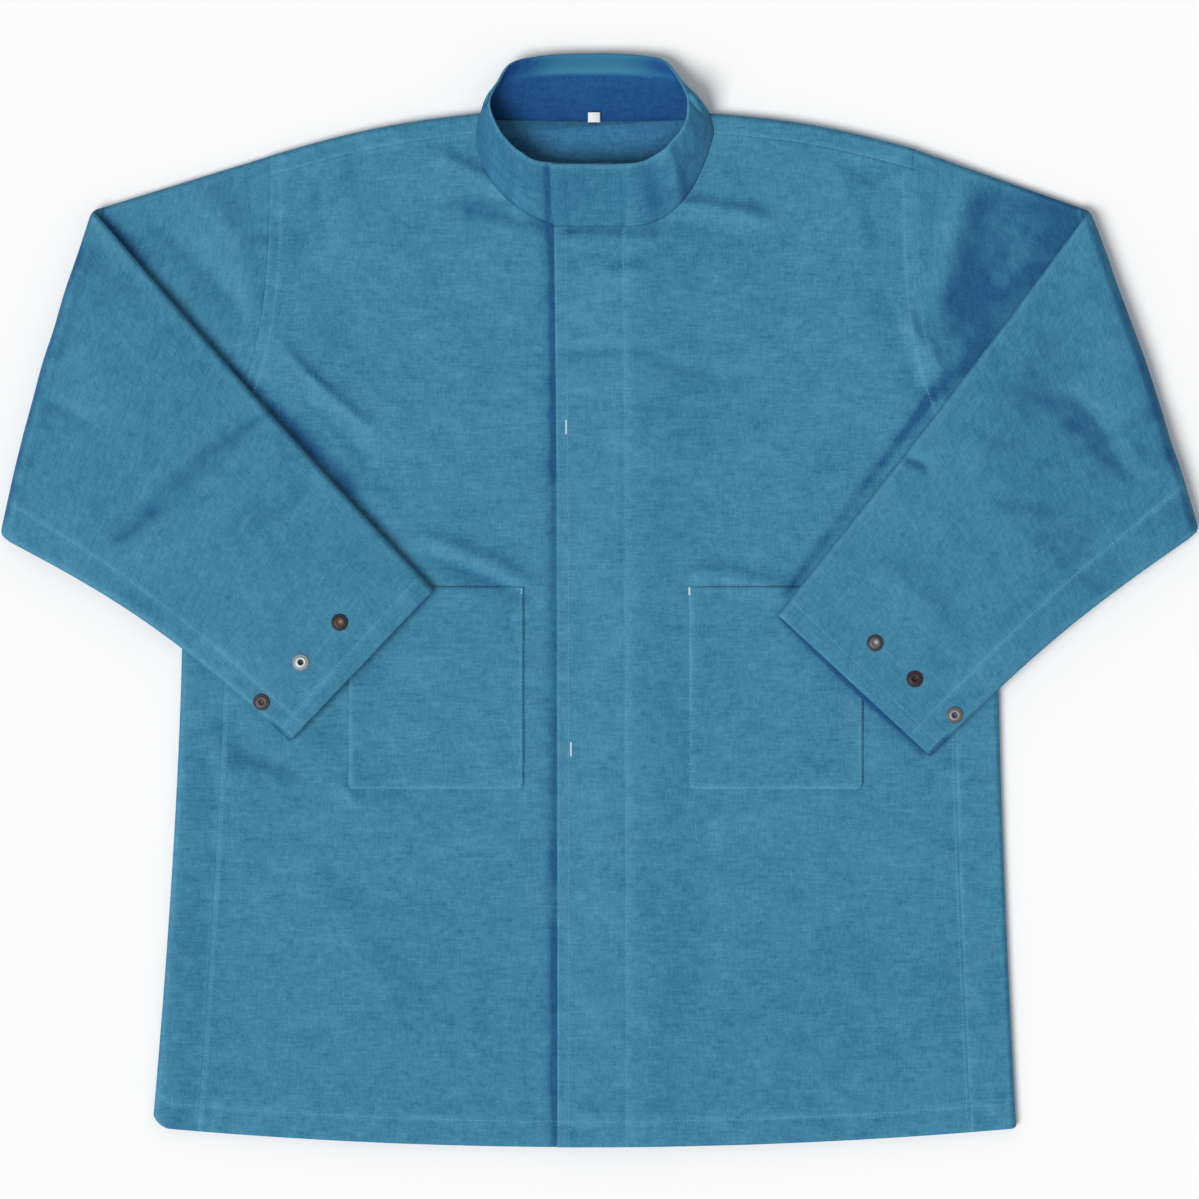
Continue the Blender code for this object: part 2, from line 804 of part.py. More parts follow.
def snap_object(name, place, normal, radius, thickness, material, collection):
    """A flat metal disc with a softened rim."""
    bpy.ops.mesh.primitive_cylinder_add(vertices=SNAP_SIDES, radius=radius, depth=thickness)
    thing = bpy.context.active_object
    thing.name = name
    thing.data.name = name
    for owner in list(thing.users_collection):
        owner.objects.unlink(thing)
    collection.objects.link(thing)
    thing.location = place
    thing.rotation_mode = "QUATERNION"
    thing.rotation_quaternion = Vector((0, 0, 1)).rotation_difference(Vector(tuple(normal)))
    thing.data.materials.append(material)
    return thing


def front_snaps(collection):
    """Plain hidden snaps between the facing and the underlap."""
    material = metal_material("hidden_snap_metal", (0.5, 0.5, 0.52))
    spacing = front_neck_height() / FRONT_SNAP_COUNT
    for k in range(FRONT_SNAP_COUNT):
        y = spacing * (k + 0.5)
        x = placket_edge(y) + placket_width / 2
        level = front_level(x, y) + cloth / 2 - snap_play - snap_thickness / 2
        place = placed(vec(x, y, level))
        snap_object(f"front_snap_{k + 1}", place, (0, 0, 1), snap_diameter / 2,
                    snap_thickness, material, collection)


# Collar


def neckline():
    """The neckline through the middle of the cloth, from the underlap end round to the overlap end."""
    right = front_inner_edge(-1, underlap_edge)[-NECK_ROWS - 1:-1]
    left = front_inner_edge(1, placket_edge)[-NECK_ROWS - 1:-1]
    points = [vec(p[0], p[1], right_front_level(*p)) for p in right]
    points += neck_turn(-1)
    right_floor = shoulder_strip(-1)[-1][0]
    left_floor = shoulder_strip(1)[-1][0]
    for i in range(NECK_COLUMNS + 1):
        sag = vec(0, -neck_sag * math.sin(math.pi * i / NECK_COLUMNS), 0)
        points.append(mix(right_floor, left_floor, i / NECK_COLUMNS) + sag)
    points += neck_turn(1)[::-1]
    points += [vec(p[0], p[1], left_front_level(*p)) for p in left[::-1]]
    return points


def neck_turn(sign):
    """The neckline where it turns over the shoulder fold, from the front down to the floor."""
    strip = shoulder_strip(sign)[-1]
    return strip[1:][::-1]


def collar_way(base, point, end):
    """Which way the band leaves the edge of the cloth that it is sewn to."""
    i = next(k for k, p in enumerate(base) if p is point)
    along_seam = unit(base[min(i + 1, len(base) - 1)] - base[max(i - 1, 0)])
    on_floor = point[2] < floor_level + gap
    beyond_fold = point[1] > back_length - shoulder_wrap
    if on_floor:
        off_cloth = vec(0, 1, 0)
    elif beyond_fold:
        off_cloth = vec(-math.copysign(1, point[0]), 0, 0)
    else:
        off_cloth = vec(-point[0] * collar_lean_in, back_length - point[1], 0)
    total = vec(0, 0, 0)
    for way in (off_cloth, end - point):
        total = total + unit(way - along_seam * float(way @ along_seam))
    return unit(total)


def collar(collection):
    """The stand collar: one band round the neck, its left end over its right end."""
    base = neckline()
    length = [0.0]
    for a, b in zip(base, base[1:]):
        length.append(length[-1] + float(np.linalg.norm(b - a)))
    grid = [[] for _ in range(COLLAR_STEPS + 1)]
    half = neck_width / 2
    for point, reached in zip(base, length):
        share = reached / length[-1]
        across = smooth_rows(collar_top, "along", "across", share) * half
        up = smooth_rows(collar_top, "along", "up", share) * collar_height + back_length
        height = smooth_rows(collar_top, "along", "height", share) * collar_height
        end = vec(across, up, height + point[2] / 2)
        start = point + collar_way(base, point, end) * collar_seam_gap
        outward = unit(vec(point[0], point[1] - back_length + neck_drop / 2, 0))
        for k in range(COLLAR_STEPS + 1):
            s = k / COLLAR_STEPS
            bulge = outward * collar_bulge * math.sin(math.pi * s)
            grid[k].append(mix(start, end, s) + bulge)
    material = cloth_material("collar_cloth", (0.045, 0.180, 0.300))
    return cloth_object("collar", [(grid, False)], material, collection)


def size_tag(collection):
    """The small bare tag inside the back of the neck."""
    bpy.ops.mesh.primitive_cube_add(size=1)
    thing = bpy.context.active_object
    thing.name = "size_tag"
    thing.data.name = "size_tag"
    for owner in list(thing.users_collection):
        owner.objects.unlink(thing)
    collection.objects.link(thing)
    level = cloth + gap + tag_lift + tag_thickness / 2
    y = back_length - neck_sag
    for vertex in thing.data.vertices:
        vertex.co = (vertex.co.x * tag_width, vertex.co.y * tag_height, vertex.co.z * tag_thickness)
    thing.location = placed(vec(tag_shift, y, level))
    thing.data.materials.append(cloth_material("tag_cloth", (0.85, 0.86, 0.88)))
    return thing


# Pockets


def pocket(sign, collection):
    """A patch pocket, open at its top edge."""
    side = sides[sign]
    inner = sign * side["pocket_inner_share"] * chest_width
    heights = [0.0, pocket_corner / 3, pocket_corner]
    heights += list(np.linspace(pocket_corner, pocket_height, POCKET_ROWS + 1)[1:])
    grid = []
    for height in heights:
        rest = max(0.0, pocket_corner - height)
        inset = pocket_corner - math.sqrt(max(0.0, pocket_corner**2 - rest**2))
        row = []
        for u in np.linspace(0, 1, POCKET_COLUMNS + 1):
            width = pocket_width - 2 * inset
            x = inner + sign * (inset + u * width)
            y = pocket_base_height + height
            row.append(vec(x, y, front_level(x, y) + layer))
        grid.append(row)
    name = side["side"] + "_pocket"
    material = cloth_material(name + "_cloth", (0.060, 0.222, 0.350))
    return cloth_object(name, [(grid, False)], material, collection)


# Sleeves


def sleeve(sign, collection):
    """One open tube of cloth, folded once across, from the armhole to the cuff."""
    frame = sleeve_frame(sign)
    sections = [sleeve_section(frame, station) for station in sleeve_stations(frame)]
    name = frame["row"]["side"] + "_sleeve"
    material = cloth_material(name + "_cloth", (0.054, 0.208, 0.335))
    return cloth_object(name, [(sections, True)], material, collection)


def cuff_snaps(sign, collection):
    """Three snaps in a row on the upper cloth, along the cuff edge."""
    frame = sleeve_frame(sign)
    row = frame["row"]
    metal = metal_material(row["side"] + "_snap_metal", (0.48, 0.46, 0.45))
    cuff_way = unit(frame["cuff_bottom"] - frame["cuff_top"])
    for k in range(CUFF_SNAP_COUNT):
        t = row["first_snap"] + k * row["snap_pitch"]
        lane = cuff_line(frame, t) - fold_line(frame, t)
        s = 1 - snap_inset / abs(lane[0] * cuff_way[1] - lane[1] * cuff_way[0])
        point = lane_point(frame, ("forearm", s), t)[1]
        ahead = lane_point(frame, ("forearm", s + 0.01), t)[1] - point
        beside = lane_point(frame, ("forearm", s), t + 0.01)[1] - point
        normal = unit(np.cross(ahead, beside))
        normal = normal if normal[2] > 0 else -normal
        place = point + normal * (cloth / 2 + gap + snap_thickness / 2)
        snap_object(f"{row['side']}_cuff_snap_{k + 1}", placed(place), normal,
                    snap_diameter / 2, snap_thickness, metal, collection)


def build():
    clear_scene()
    collection = bpy.data.collections.new("work_jacket")
    bpy.context.scene.collection.children.link(collection)
    back_panel(collection)
    front_panel("right_front", -1, underlap_edge, right_front_level,
                collection, (0.058, 0.220, 0.348))
    front_panel("left_front", 1, placket_edge, left_front_level,
                collection, (0.055, 0.212, 0.340))
    fly_facing(collection)
    front_snaps(collection)
    collar(collection)
    size_tag(collection)
    for sign in (-1, 1):
        pocket(sign, collection)
        sleeve(sign, collection)
        cuff_snaps(sign, collection)


build()
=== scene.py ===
# The looks of a work jacket that lies flat, front up, with both sleeves folded across the front.
# Metres, +X to the wearer's left, +Y towards the collar, +Z up from the surface that it lies on.
# Every piece of cloth is a fine mesh in the place of its CAD solid, with creases, seams and stitches.

import math

import bmesh
import bpy
import numpy as np
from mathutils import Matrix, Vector
from mathutils.bvhtree import BVHTree


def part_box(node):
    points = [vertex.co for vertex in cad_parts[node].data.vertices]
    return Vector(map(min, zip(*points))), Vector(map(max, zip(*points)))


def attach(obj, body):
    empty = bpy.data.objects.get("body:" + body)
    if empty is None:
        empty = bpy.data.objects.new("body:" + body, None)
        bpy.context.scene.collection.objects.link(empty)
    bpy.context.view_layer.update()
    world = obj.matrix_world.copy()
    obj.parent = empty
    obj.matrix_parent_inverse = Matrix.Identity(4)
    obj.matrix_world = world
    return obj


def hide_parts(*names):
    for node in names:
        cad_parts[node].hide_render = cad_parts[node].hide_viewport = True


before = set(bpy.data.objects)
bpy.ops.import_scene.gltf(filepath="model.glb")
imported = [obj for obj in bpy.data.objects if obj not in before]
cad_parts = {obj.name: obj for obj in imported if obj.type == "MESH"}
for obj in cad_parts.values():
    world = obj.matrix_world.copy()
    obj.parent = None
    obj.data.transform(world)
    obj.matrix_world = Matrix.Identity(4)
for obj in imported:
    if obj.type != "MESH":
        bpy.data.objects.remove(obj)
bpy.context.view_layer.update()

# Driving sizes, the same as in the source
back_length = 0.762
chest_width = 0.6026
hem_width = 0.638
shoulder_width = 0.4763
shoulder_drop = 0.030
shoulder_bow = 0.0045
armpit_height = 0.494
armpit_curve = 0.24
shoulder_curve = 0.50
neck_width = 0.1676
neck_drop = 0.0825
neck_sag = 0.0015
side_wrap = 0.033
flare_height = 0.380
shoulder_wrap = 0.0145
hem_dip = 0.014
placket_width = 0.051
placket_lean = 0.004
underlap_width = 0.0445
collar_height = 0.045
upper_arm_length = 0.137
sleeve_width = 0.248
forearm_length = 0.3765
cuff_width = 0.1525
pocket_width = 0.130
pocket_height = 0.150
pocket_corner = 0.006
pocket_base_height = 0.2635
snap_diameter = 0.0125
snap_thickness = 0.0015
cloth = 0.0012
gap = 0.0003
body_loft = 0.0060
body_crown = 0.0025
sleeve_loft = 0.0054
sleeve_crown = 0.0016
fold_reach = 0.0090
inner_fold = 0.0022
fold_relax = 0.035
collar_bulge = 0.0018
placket_margin = 0.006
placket_ramp = 0.060
facing_drop = 0.018
layer = cloth + gap
floor_level = cloth / 2
top_level = floor_level + cloth + body_loft
edge_radius = (top_level - floor_level) / 2

# Stitches and seams
hem_depth = 0.0190
edge_stitch_inset = 0.0085
seam_stitch_gap = 0.0085
cuff_hem_depth = 0.0150
pocket_hem_depth = 0.016
pocket_stitch_inset = 0.0022
stitch_pitch = 0.0028
stitch_length = 0.0021
thread_radius = 0.00022
bartack_pitch = 0.0005
cuff_reveal = 0.0035
pocket_lift = 0.0007
seam_lap = 0.0010
lap_drop = 0.0001
lap_reach = 0.004

# Creases, and the slope of a folded sleeve towards its fold
crease_strength = 1.5
crease_sharpness = 1.6
arm_roll = 0.0016
arm_roll_reach = 0.026

# Share of the collar's height above which its rolled-over back is painted light, and how it slumps and
# stands
collar_lit_band_share = 0.62
collar_slump = 0.80
back_stand = 0.009

# Wear and painted shade: half width of a rubbed line, share across a sleeve of its seam, and the painted
# shade of hollows, slopes and the collar
wear_reach = 0.0017
seam_wear_reach = 0.0024
sleeve_seam_lane = {-1: 0.90, 1: 0.86}
first_shade_seed = 200
hollow_passes = 10
hollow_depth = 0.0011
slope_tone = 1.5
collar_shade = 0.46

# Colours; dark and light yarns and the painted shade are shares of the cloth's own colour
dark_yarn = (0.50, 0.66, 0.76)
light_yarn = (1.60, 1.34, 1.22)
shade_tone = (0.34, 0.46, 0.66)
body_colour = (0.0505, 0.228, 0.364)
thread_colour = (0.175, 0.430, 0.600)
bartack_colour = (0.60, 0.80, 0.92)

# Light, camera and floor
light_place = (-1.65, -1.35, 3.0)
light_angle = 34
light_power = 2.27
world_strength = 0.40
camera_height = 6.0
camera_sensor = 36
frame_side = 0.8853
floor_size = 6
floor_drop = 0.0002
floor_colour = (0.985, 0.985, 0.985)

SLEEVE_COLUMNS = ("side", "sign", "arm_drop", "fold_lean", "forearm_drop", "cuff_drop",
                  "fold_bow", "upper_bow", "under_bow")
SLEEVES = (
    ("right", -1, 17.2, 15.8, 48.1, 46.4, 0.018, -0.008, -0.028),
    ("left", 1, 19.6, 18.8, 52.3, 42.8, 0.010, -0.006, -0.020),
)

SIDE_COLUMNS = ("side", "sign", "hem_share", "shoulder_share", "neck_share", "pocket_inner_share",
                "drop_share")
SIDES = (
    ("right", -1, 0.5055, 0.4962, 0.4757, 0.081, 1.00),
    ("left", 1, 0.4935, 0.5038, 0.5243, 0.119, 0.83),
)

# Broad folds of the front: ends and half width as shares of the chest and the back, and height
FOLD_COLUMNS = ("x0", "y0", "x1", "y1", "width", "height")
FOLDS = (
    (-0.370, 0.770, -0.260, 0.705, 0.050, 0.60),
    (-0.450, 0.930, -0.355, 0.870, 0.060, -0.40),
    (0.010, 0.850, 0.090, 0.850, 0.060, -0.30),
    (-0.035, 0.770, 0.170, 0.746, 0.060, -0.35),
    (-0.425, 0.370, -0.365, 0.365, 0.060, -0.45),
    (0.300, 0.800, 0.390, 0.735, 0.050, 0.50),
    (0.180, 0.020, 0.260, 0.330, 0.080, 0.40),
    (-0.300, 0.020, -0.220, 0.300, 0.080, 0.35),
)

# Upper edge of the collar by its share along the neckline, in half neck widths and collar heights
COLLAR_COLUMNS = ("along", "across", "up", "height")
COLLAR_TOP = (
    (0.000, 0.194, -0.804, 0.42),
    (0.080, -0.282, -0.804, 0.43),
    (0.120, -0.476, -0.755, 0.46),
    (0.158, -0.626, -0.607, 0.53),
    (0.198, -0.749, -0.394, 0.58),
    (0.237, -0.837, -0.115, 0.62),
    (0.277, -0.881, 0.181, 0.62),
    (0.326, -0.802, 0.541, 0.46),
    (0.366, -0.696, 0.837, 0.27),
    (0.406, -0.485, 0.952, 0.18),
    (0.486, 0.018, 1.009, 0.13),
    (0.565, 0.485, 0.968, 0.17),
    (0.605, 0.652, 0.886, 0.24),
    (0.650, 0.793, 0.541, 0.44),
    (0.694, 0.855, 0.181, 0.62),
    (0.738, 0.837, -0.115, 0.64),
    (0.782, 0.758, -0.361, 0.61),
    (0.825, 0.634, -0.607, 0.55),
    (0.869, 0.441, -0.788, 0.48),
    (0.913, 0.194, -0.820, 0.46),
    (1.000, -0.344, -0.820, 0.46),
)

# Waves that the stitches of each seam pull into the cloth: their size, reach and height
PUCKER_COLUMNS = ("seam", "size", "reach", "height", "seed")
PUCKERS = (
    ("side", 0.012, 0.010, 0.00055, 20),
    ("shoulder", 0.011, 0.008, 0.00045, 24),
    ("armhole", 0.013, 0.011, 0.00060, 28),
)

# Yarns and mottles of the cloth: lengths across and along, and their parts in its colour and relief
YARN_COLUMNS = ("across", "along", "seed", "tone", "relief")
YARNS = (
    (0.0015, 0.0100, 1, 0.50, 0.5),
    (0.0110, 0.0015, 2, 0.42, 0.5),
    (0.0260, 0.0024, 3, 0.30, 0.0),
    (0.0020, 0.0018, 4, 0.70, 0.5),
    (0.0060, 0.0045, 7, 0.60, 0.0),
    (0.0170, 0.0120, 5, 0.45, 0.0),
    (0.0550, 0.0400, 6, 0.32, 0.0),
)

BARTACK_COLUMNS = ("ground", "x", "y", "length", "width")
BARTACKS = (
    (1, -0.0177, 0.5316, 0.0100, 0.0017),
    (1, -0.0140, 0.2939, 0.0100, 0.0017),
    (("pocket", 1), 0.0735, 0.4105, 0.0052, 0.0018),
    (("pocket", -1), -0.0505, 0.4105, 0.0036, 0.0007),
)

# Cuff snaps: shares of the radius and of the depth from the middle to the rim, and the tones of each,
# which carry painted reflections as well as the metal's own colour
SNAP_PROFILE = ((0.00, 0.20), (0.28, 0.20), (0.34, 0.75), (0.44, 1.00), (0.56, 0.95), (0.64, 0.45),
                (0.78, 0.40), (0.90, 0.55), (0.98, 0.30), (1.00, 0.00), (0.98, -0.40))
SNAP_COLUMNS = ("side", "sign", "number", "rim", "ring", "centre")
SNAPS = (
    ("right", -1, 1, (0.018, 0.014, 0.015), (0.070, 0.050, 0.040), (0.240, 0.140, 0.085)),
    ("right", -1, 2, (0.260, 0.300, 0.310), (0.620, 0.680, 0.700), (0.020, 0.022, 0.025)),
    ("right", -1, 3, (0.040, 0.035, 0.040), (0.120, 0.110, 0.120), (0.070, 0.050, 0.050)),
    ("left", 1, 1, (0.040, 0.042, 0.046), (0.120, 0.125, 0.130), (0.320, 0.320, 0.320)),
    ("left", 1, 2, (0.025, 0.015, 0.025), (0.050, 0.025, 0.040), (0.020, 0.010, 0.015)),
    ("left", 1, 3, (0.110, 0.115, 0.125), (0.270, 0.280, 0.300), (0.070, 0.070, 0.075)),
)

# Creases by layer: ends, sideways bow and half widths to the left and right of the line, in
# millimetres, and height
CREASE_COLUMNS = ("x0", "y0", "x1", "y1", "bow", "left", "right", "height")
CREASES = {
    "front": (
        # Right armhole and shoulder
        (-224, 587, -161, 532, -2.2, 2.6, 6.6, 1.2),
        (-217, 555, -161, 500, 2.2, 8.9, 16.2, -1.2),
        (-199, 715, -216, 658, 3.7, 6.6, 13.3, -0.9),
        (-176, 718, -192, 653, 3.7, 10.3, 10.3, 0.7),
        # Beside the collar
        (-108, 730, -44, 693, 3.0, 4.4, 10.3, 1.6),
        (-66, 699, -25, 687, 2.2, 5.9, 5.9, -1.0),
        (55, 695, 133, 683, 4.4, 4.4, 11.1, 1.5),
        (37, 683, 112, 670, 3.7, 7.4, 10.3, -0.9),
        # Placket and left chest
        (-15, 643, 41, 645, 1.5, 5.9, 9.6, 0.9),
        (-28, 586, 37, 588, 0.0, 4.4, 8.1, -0.5),
        (-25, 594, 38, 597, 0.0, 5.2, 8.1, 0.4),
        (37, 587, 112, 563, -3.0, 6.6, 11.1, -0.6),
        # Pockets, belly and waist
        (-123, 448, -41, 411, 3.7, 4.4, 9.6, 1.5),
        (-111, 429, -44, 404, 2.2, 5.2, 7.4, -0.9),
        (74, 423, 142, 412, 3.0, 4.4, 9.6, 1.2),
        (-264, 289, -217, 272, 1.5, 6.6, 11.8, -0.5),
        (-298, 330, -261, 264, 3.0, 10.3, 10.3, 0.7),
        (-186, 268, -171, 252, 0.0, 3.0, 4.4, 1.0),
        # Left armhole and shoulder
        (231, 612, 257, 572, 1.5, 5.2, 10.3, 1.3),
        (220, 625, 241, 555, 2.2, 7.4, 13.3, -1.1),
        (183, 721, 214, 653, -3.0, 10.3, 14.8, 0.7),
        # Belly and hem
        (81, 236, 199, 256, 3.7, 11.8, 17.7, 0.7),
        (-214, 205, -133, 72, 5.9, 16.2, 20.7, 0.8),
        (126, 197, 81, 49, -5.9, 16.2, 20.7, 0.8),
    ),
    "right_upper": (
        (-325, 683, -251, 603, 4.4, 10.3, 16.2, -1.6),
        (-288, 705, -242, 625, 4.4, 10.3, 14.8, 1.2),
    ),
    "left_upper": (
        (310, 699, 270, 607, 5.9, 16.2, 25.1, -2.4),
        (275, 714, 247, 625, 4.4, 8.9, 10.3, 1.3),
        (350, 695, 310, 646, -4.4, 13.3, 16.2, 0.5),
    ),
    "right_forearm": (
        (-242, 540, -347, 453, 7.4, 10.3, 17.7, -1.5),
        (-227, 522, -325, 433, 8.9, 13.3, 16.2, 1.1),
        (-363, 676, -312, 625, -4.4, 8.9, 14.8, -1.5),
        (-201, 494, -242, 463, 3.0, 7.4, 10.3, -0.9),
        (-214, 433, -281, 374, 3.0, 11.8, 13.3, 0.8),
        (-406, 552, -365, 529, 2.2, 7.4, 11.8, -1.0),
    ),
    "left_forearm": (
        (356, 552, 391, 503, 3.0, 8.9, 13.3, -1.5),
        (230, 509, 251, 500, 1.5, 4.4, 7.4, -1.4),
        (332, 611, 273, 492, 5.9, 13.3, 19.2, 1.2),
        (421, 552, 380, 522, 2.2, 7.4, 11.8, -1.0),
        (207, 433, 266, 374, 3.0, 11.8, 13.3, 0.9),
        (377, 463, 303, 389, 4.4, 10.3, 13.3, -1.0),
    ),
}

# Painted shade, darker cloth in hollows, beside edges and in the shadows of the folded sleeves and the
# collar (a negative depth paints lighter cloth): ends, half width in millimetres and depth
SHADE_COLUMNS = ("x0", "y0", "x1", "y1", "width", "tone")
SHADES = {
    "body": (
        # Right shoulder and armhole
        (-224, 588, -164, 533, 2.1, 0.60),
        (-201, 705, -198, 664, 5.2, 0.32),
        (-181, 715, -192, 698, 5.9, 0.22),
        (-231, 670, -232, 600, 3.0, 0.20),
        # Beside the right forearm
        (-366, 689, -334, 656, 7.4, 0.80),
        (-366, 689, -151, 455, 3.7, 0.50),
        (-263, 572, -225, 538, 5.0, 0.62),
        (-218, 533, -174, 486, 6.5, 0.70),
        # Right pocket, belly and cuff
        (-159, 487, -139, 476, 5.9, 0.25),
        (-261, 292, -220, 274, 5.9, 0.34),
        (-192, 297, -151, 264, 13.3, 0.26),
        # Round the collar
        (-102, 697, -63, 696, 5.9, 0.30),
        (-89, 691, -31, 678, 5.2, 0.62),
        (-103, 730, -65, 708, 3.0, 0.32),
        (-90, 718, -37, 691, 2.2, -0.25),
        (-18, 676, 46, 675, 4.6, 0.85),
        # Placket and left chest
        (46, 694, 123, 691, 5.2, 0.36),
        (-11, 643, 37, 652, 3.7, 0.38),
        (47, 660, 58, 665, 3.7, 0.20),
        (-22, 588, 107, 588, 5.9, 0.14),
        (81, 577, 118, 566, 5.9, 0.22),
        (111, 670, 131, 603, 13.3, 0.15),
        # Left shoulder
        (186, 725, 208, 709, 4.4, 0.25),
        (204, 681, 208, 652, 5.2, 0.22),
        (205, 634, 222, 627, 5.2, 0.20),
        # Hollow of the left upper arm
        (303, 701, 362, 689, 14.8, 0.58),
        (292, 699, 270, 625, 10.3, 0.60),
        (350, 671, 284, 596, 14.8, 0.72),
        (292, 591, 251, 554, 6.6, 0.75),
        (319, 679, 289, 625, 16.2, 0.50),
        (254, 567, 275, 571, 4.4, 0.40),
        (248, 600, 255, 575, 3.7, -0.25),
        (347, 688, 280, 610, 24.0, 0.26),
        # Edges of the left forearm and the cuffs
        (-120, 438, -46, 408, 3.8, 0.36),
        (247, 548, 227, 521, 4.4, 0.65),
        (251, 553, 144, 408, 3.3, 0.85),
        (-116, 410, -221, 302, 2.6, 0.45),
        (140, 393, 245, 292, 3.6, 0.62),
        # Darker towards the hem and down the right side, and lighter down the placket, as wholes
        (-266, 94, 288, 94, 81.2, 0.10),
        (2, 60, -1, 640, 17.0, -0.20),
        (-297, 20, -285, 300, 16.0, 0.18),
    ),
    "right_forearm": (
        (-233, 543, -258, 529, 3.7, 0.46),
        (-261, 524, -285, 512, 5.9, 0.42),
        (-288, 506, -325, 472, 6.6, 0.46),
        (-325, 467, -350, 447, 5.9, 0.40),
        (-258, 498, -285, 478, 3.7, 0.20),
        (-374, 473, -353, 478, 3.7, 0.20),
        (-344, 411, -314, 395, 6.6, 0.24),
        (-375, 661, -411, 537, 7.4, 0.68),
        (-417, 524, -430, 463, 7.4, 0.70),
        (-365, 689, -377, 652, 7.4, 0.36),
        (-325, 611, -295, 588, 7.4, 0.14),
    ),
    "left_forearm": (
        (354, 534, 395, 495, 5.2, 0.46),
        (397, 525, 411, 506, 5.2, 0.34),
        (332, 550, 369, 538, 10.3, 0.24),
        (397, 624, 428, 511, 11.1, 0.55),
        (375, 687, 397, 625, 8.1, 0.42),
        (303, 473, 347, 470, 6.6, 0.30),
        (332, 448, 354, 436, 7.4, 0.28),
        (358, 419, 393, 404, 7.4, 0.36),
        (402, 463, 444, 474, 11.8, 0.36),
        (444, 463, 436, 442, 6.6, 0.35),
        (224, 512, 241, 503, 3.0, 0.44),
        (284, 529, 310, 513, 8.9, 0.20),
        (310, 557, 340, 550, 10.3, 0.16),
        (317, 596, 369, 433, 45.8, 0.28),
    ),
    "collar": (
        (-63, 720, -33, 695, 17.7, 0.10),
        (37, 736, 48, 698, 8.9, 0.28),
        (-77, 764, -63, 721, 16.2, 0.20),
        (-32, 723, -31, 683, 1.9, 0.95),
        (-15, 707, 52, 707, 17.7, 0.16),
        (78, 764, 80, 722, 12.0, -0.35),
    ),
}
# Grid counts
BODY_ROWS = 190
ARMHOLE_ROWS = 70
NECK_ROWS = 60
PANEL_COLUMNS = 96
PLACKET_COLUMNS = 26
HEM_COLUMNS = 60
NECK_COLUMNS = 60
EDGE_STEPS = 12
STRIP_STEPS = 12
BEND_STEPS = 22
FOREARM_STEPS = 150
UPPER_ARM_STEPS = 44
SLEEVE_LANES = 90
SLEEVE_EDGE_STEPS = 10
COLLAR_STEPS = 26
SNAP_SIDES = 40


def named(columns, rows):
    return [dict(zip(columns, row)) for row in rows]


sides = {row["sign"]: row for row in named(SIDE_COLUMNS, SIDES)}
sleeves = {row["sign"]: row for row in named(SLEEVE_COLUMNS, SLEEVES)}
folds = named(FOLD_COLUMNS, FOLDS)
collar_top = named(COLLAR_COLUMNS, COLLAR_TOP)
creases = {name: named(CREASE_COLUMNS, rows) for name, rows in CREASES.items()}
shades = {}
for name, rows in SHADES.items():
    first = first_shade_seed + sum(len(done) for done in shades.values())
    shades[name] = [dict(row, seed=first + i) for i, row in enumerate(named(SHADE_COLUMNS, rows))]


def vec(*values):
    return np.array(values, float)


def unit(v):
    return v / np.linalg.norm(v, axis=-1, keepdims=True)


def mix(a, b, share):
    return a + (b - a) * share


def ramp(value):
    t = np.clip(value, 0.0, 1.0)
    return t * t * (3 - 2 * t)


def bell(away, reach=wear_reach):
    """1 on a line, falling to nothing at about twice the reach."""
    return np.exp(-((away / reach) ** 2))


def bezier(p0, p1, p2, p3, t):
    s = 1 - t
    return p0 * s**3 + p1 * (3 * s * s * t) + p2 * (3 * s * t * t) + p3 * t**3


def smooth_rows(rows, key, column, at):
    """A smooth reading of one column of a table along another."""
    xs = [row[key] for row in rows]
    ys = [row[column] for row in rows]
    i = min(max(np.searchsorted(xs, at, side="right") - 1, 0), len(xs) - 2)
    slopes = np.diff(ys) / np.diff(xs)
    start = slopes[i] if i == 0 else (slopes[i - 1] + slopes[i]) / 2
    end = slopes[i] if i == len(slopes) - 1 else (slopes[i] + slopes[i + 1]) / 2
    width = xs[i + 1] - xs[i]
    t = (at - xs[i]) / width
    a = (1 + 2 * t) * (1 - t) ** 2 * ys[i] + t * (1 - t) ** 2 * width * start
    b = t * t * (3 - 2 * t) * ys[i + 1] + t * t * (t - 1) * width * end
    return a + b


def lattice(i, j, seed):
    """A fixed value between -1 and 1 for each corner of a grid."""
    h = (i * 374761393 + j * 668265263 + seed * 974634777) & 0xFFFFFFFF
    h = ((h ^ (h >> 13)) * 1274126177) & 0xFFFFFFFF
    return ((h ^ (h >> 16)) & 0xFFFF) / 32767.5 - 1


def noise(x, y, size, seed):
    """Smooth unevenness with features of the given size."""
    u = np.asarray(x, float) / size
    v = np.asarray(y, float) / size
    i = np.floor(u).astype(np.int64)
    j = np.floor(v).astype(np.int64)
    a = ramp(u - i)
    b = ramp(v - j)
    low = mix(lattice(i, j, seed), lattice(i + 1, j, seed), a)
    high = mix(lattice(i, j + 1, seed), lattice(i + 1, j + 1, seed), a)
    return mix(low, high, b)


def unevenness(p, size, seed):
    return noise(p[..., 0], p[..., 1], size, seed)


def stroke(row, scale=0.001):
    """Start and direction of the line of one row of a table."""
    start = vec(row["x0"], row["y0"]) * scale
    return start, vec(row["x1"], row["y1"]) * scale - start


def segment(start, line, p):
    """Share along a straight line and distance from it, for each place."""
    share = np.clip((p - start) @ line / float(line @ line), 0, 1)
    return share, np.linalg.norm(p - start - share[..., None] * line, axis=-1)


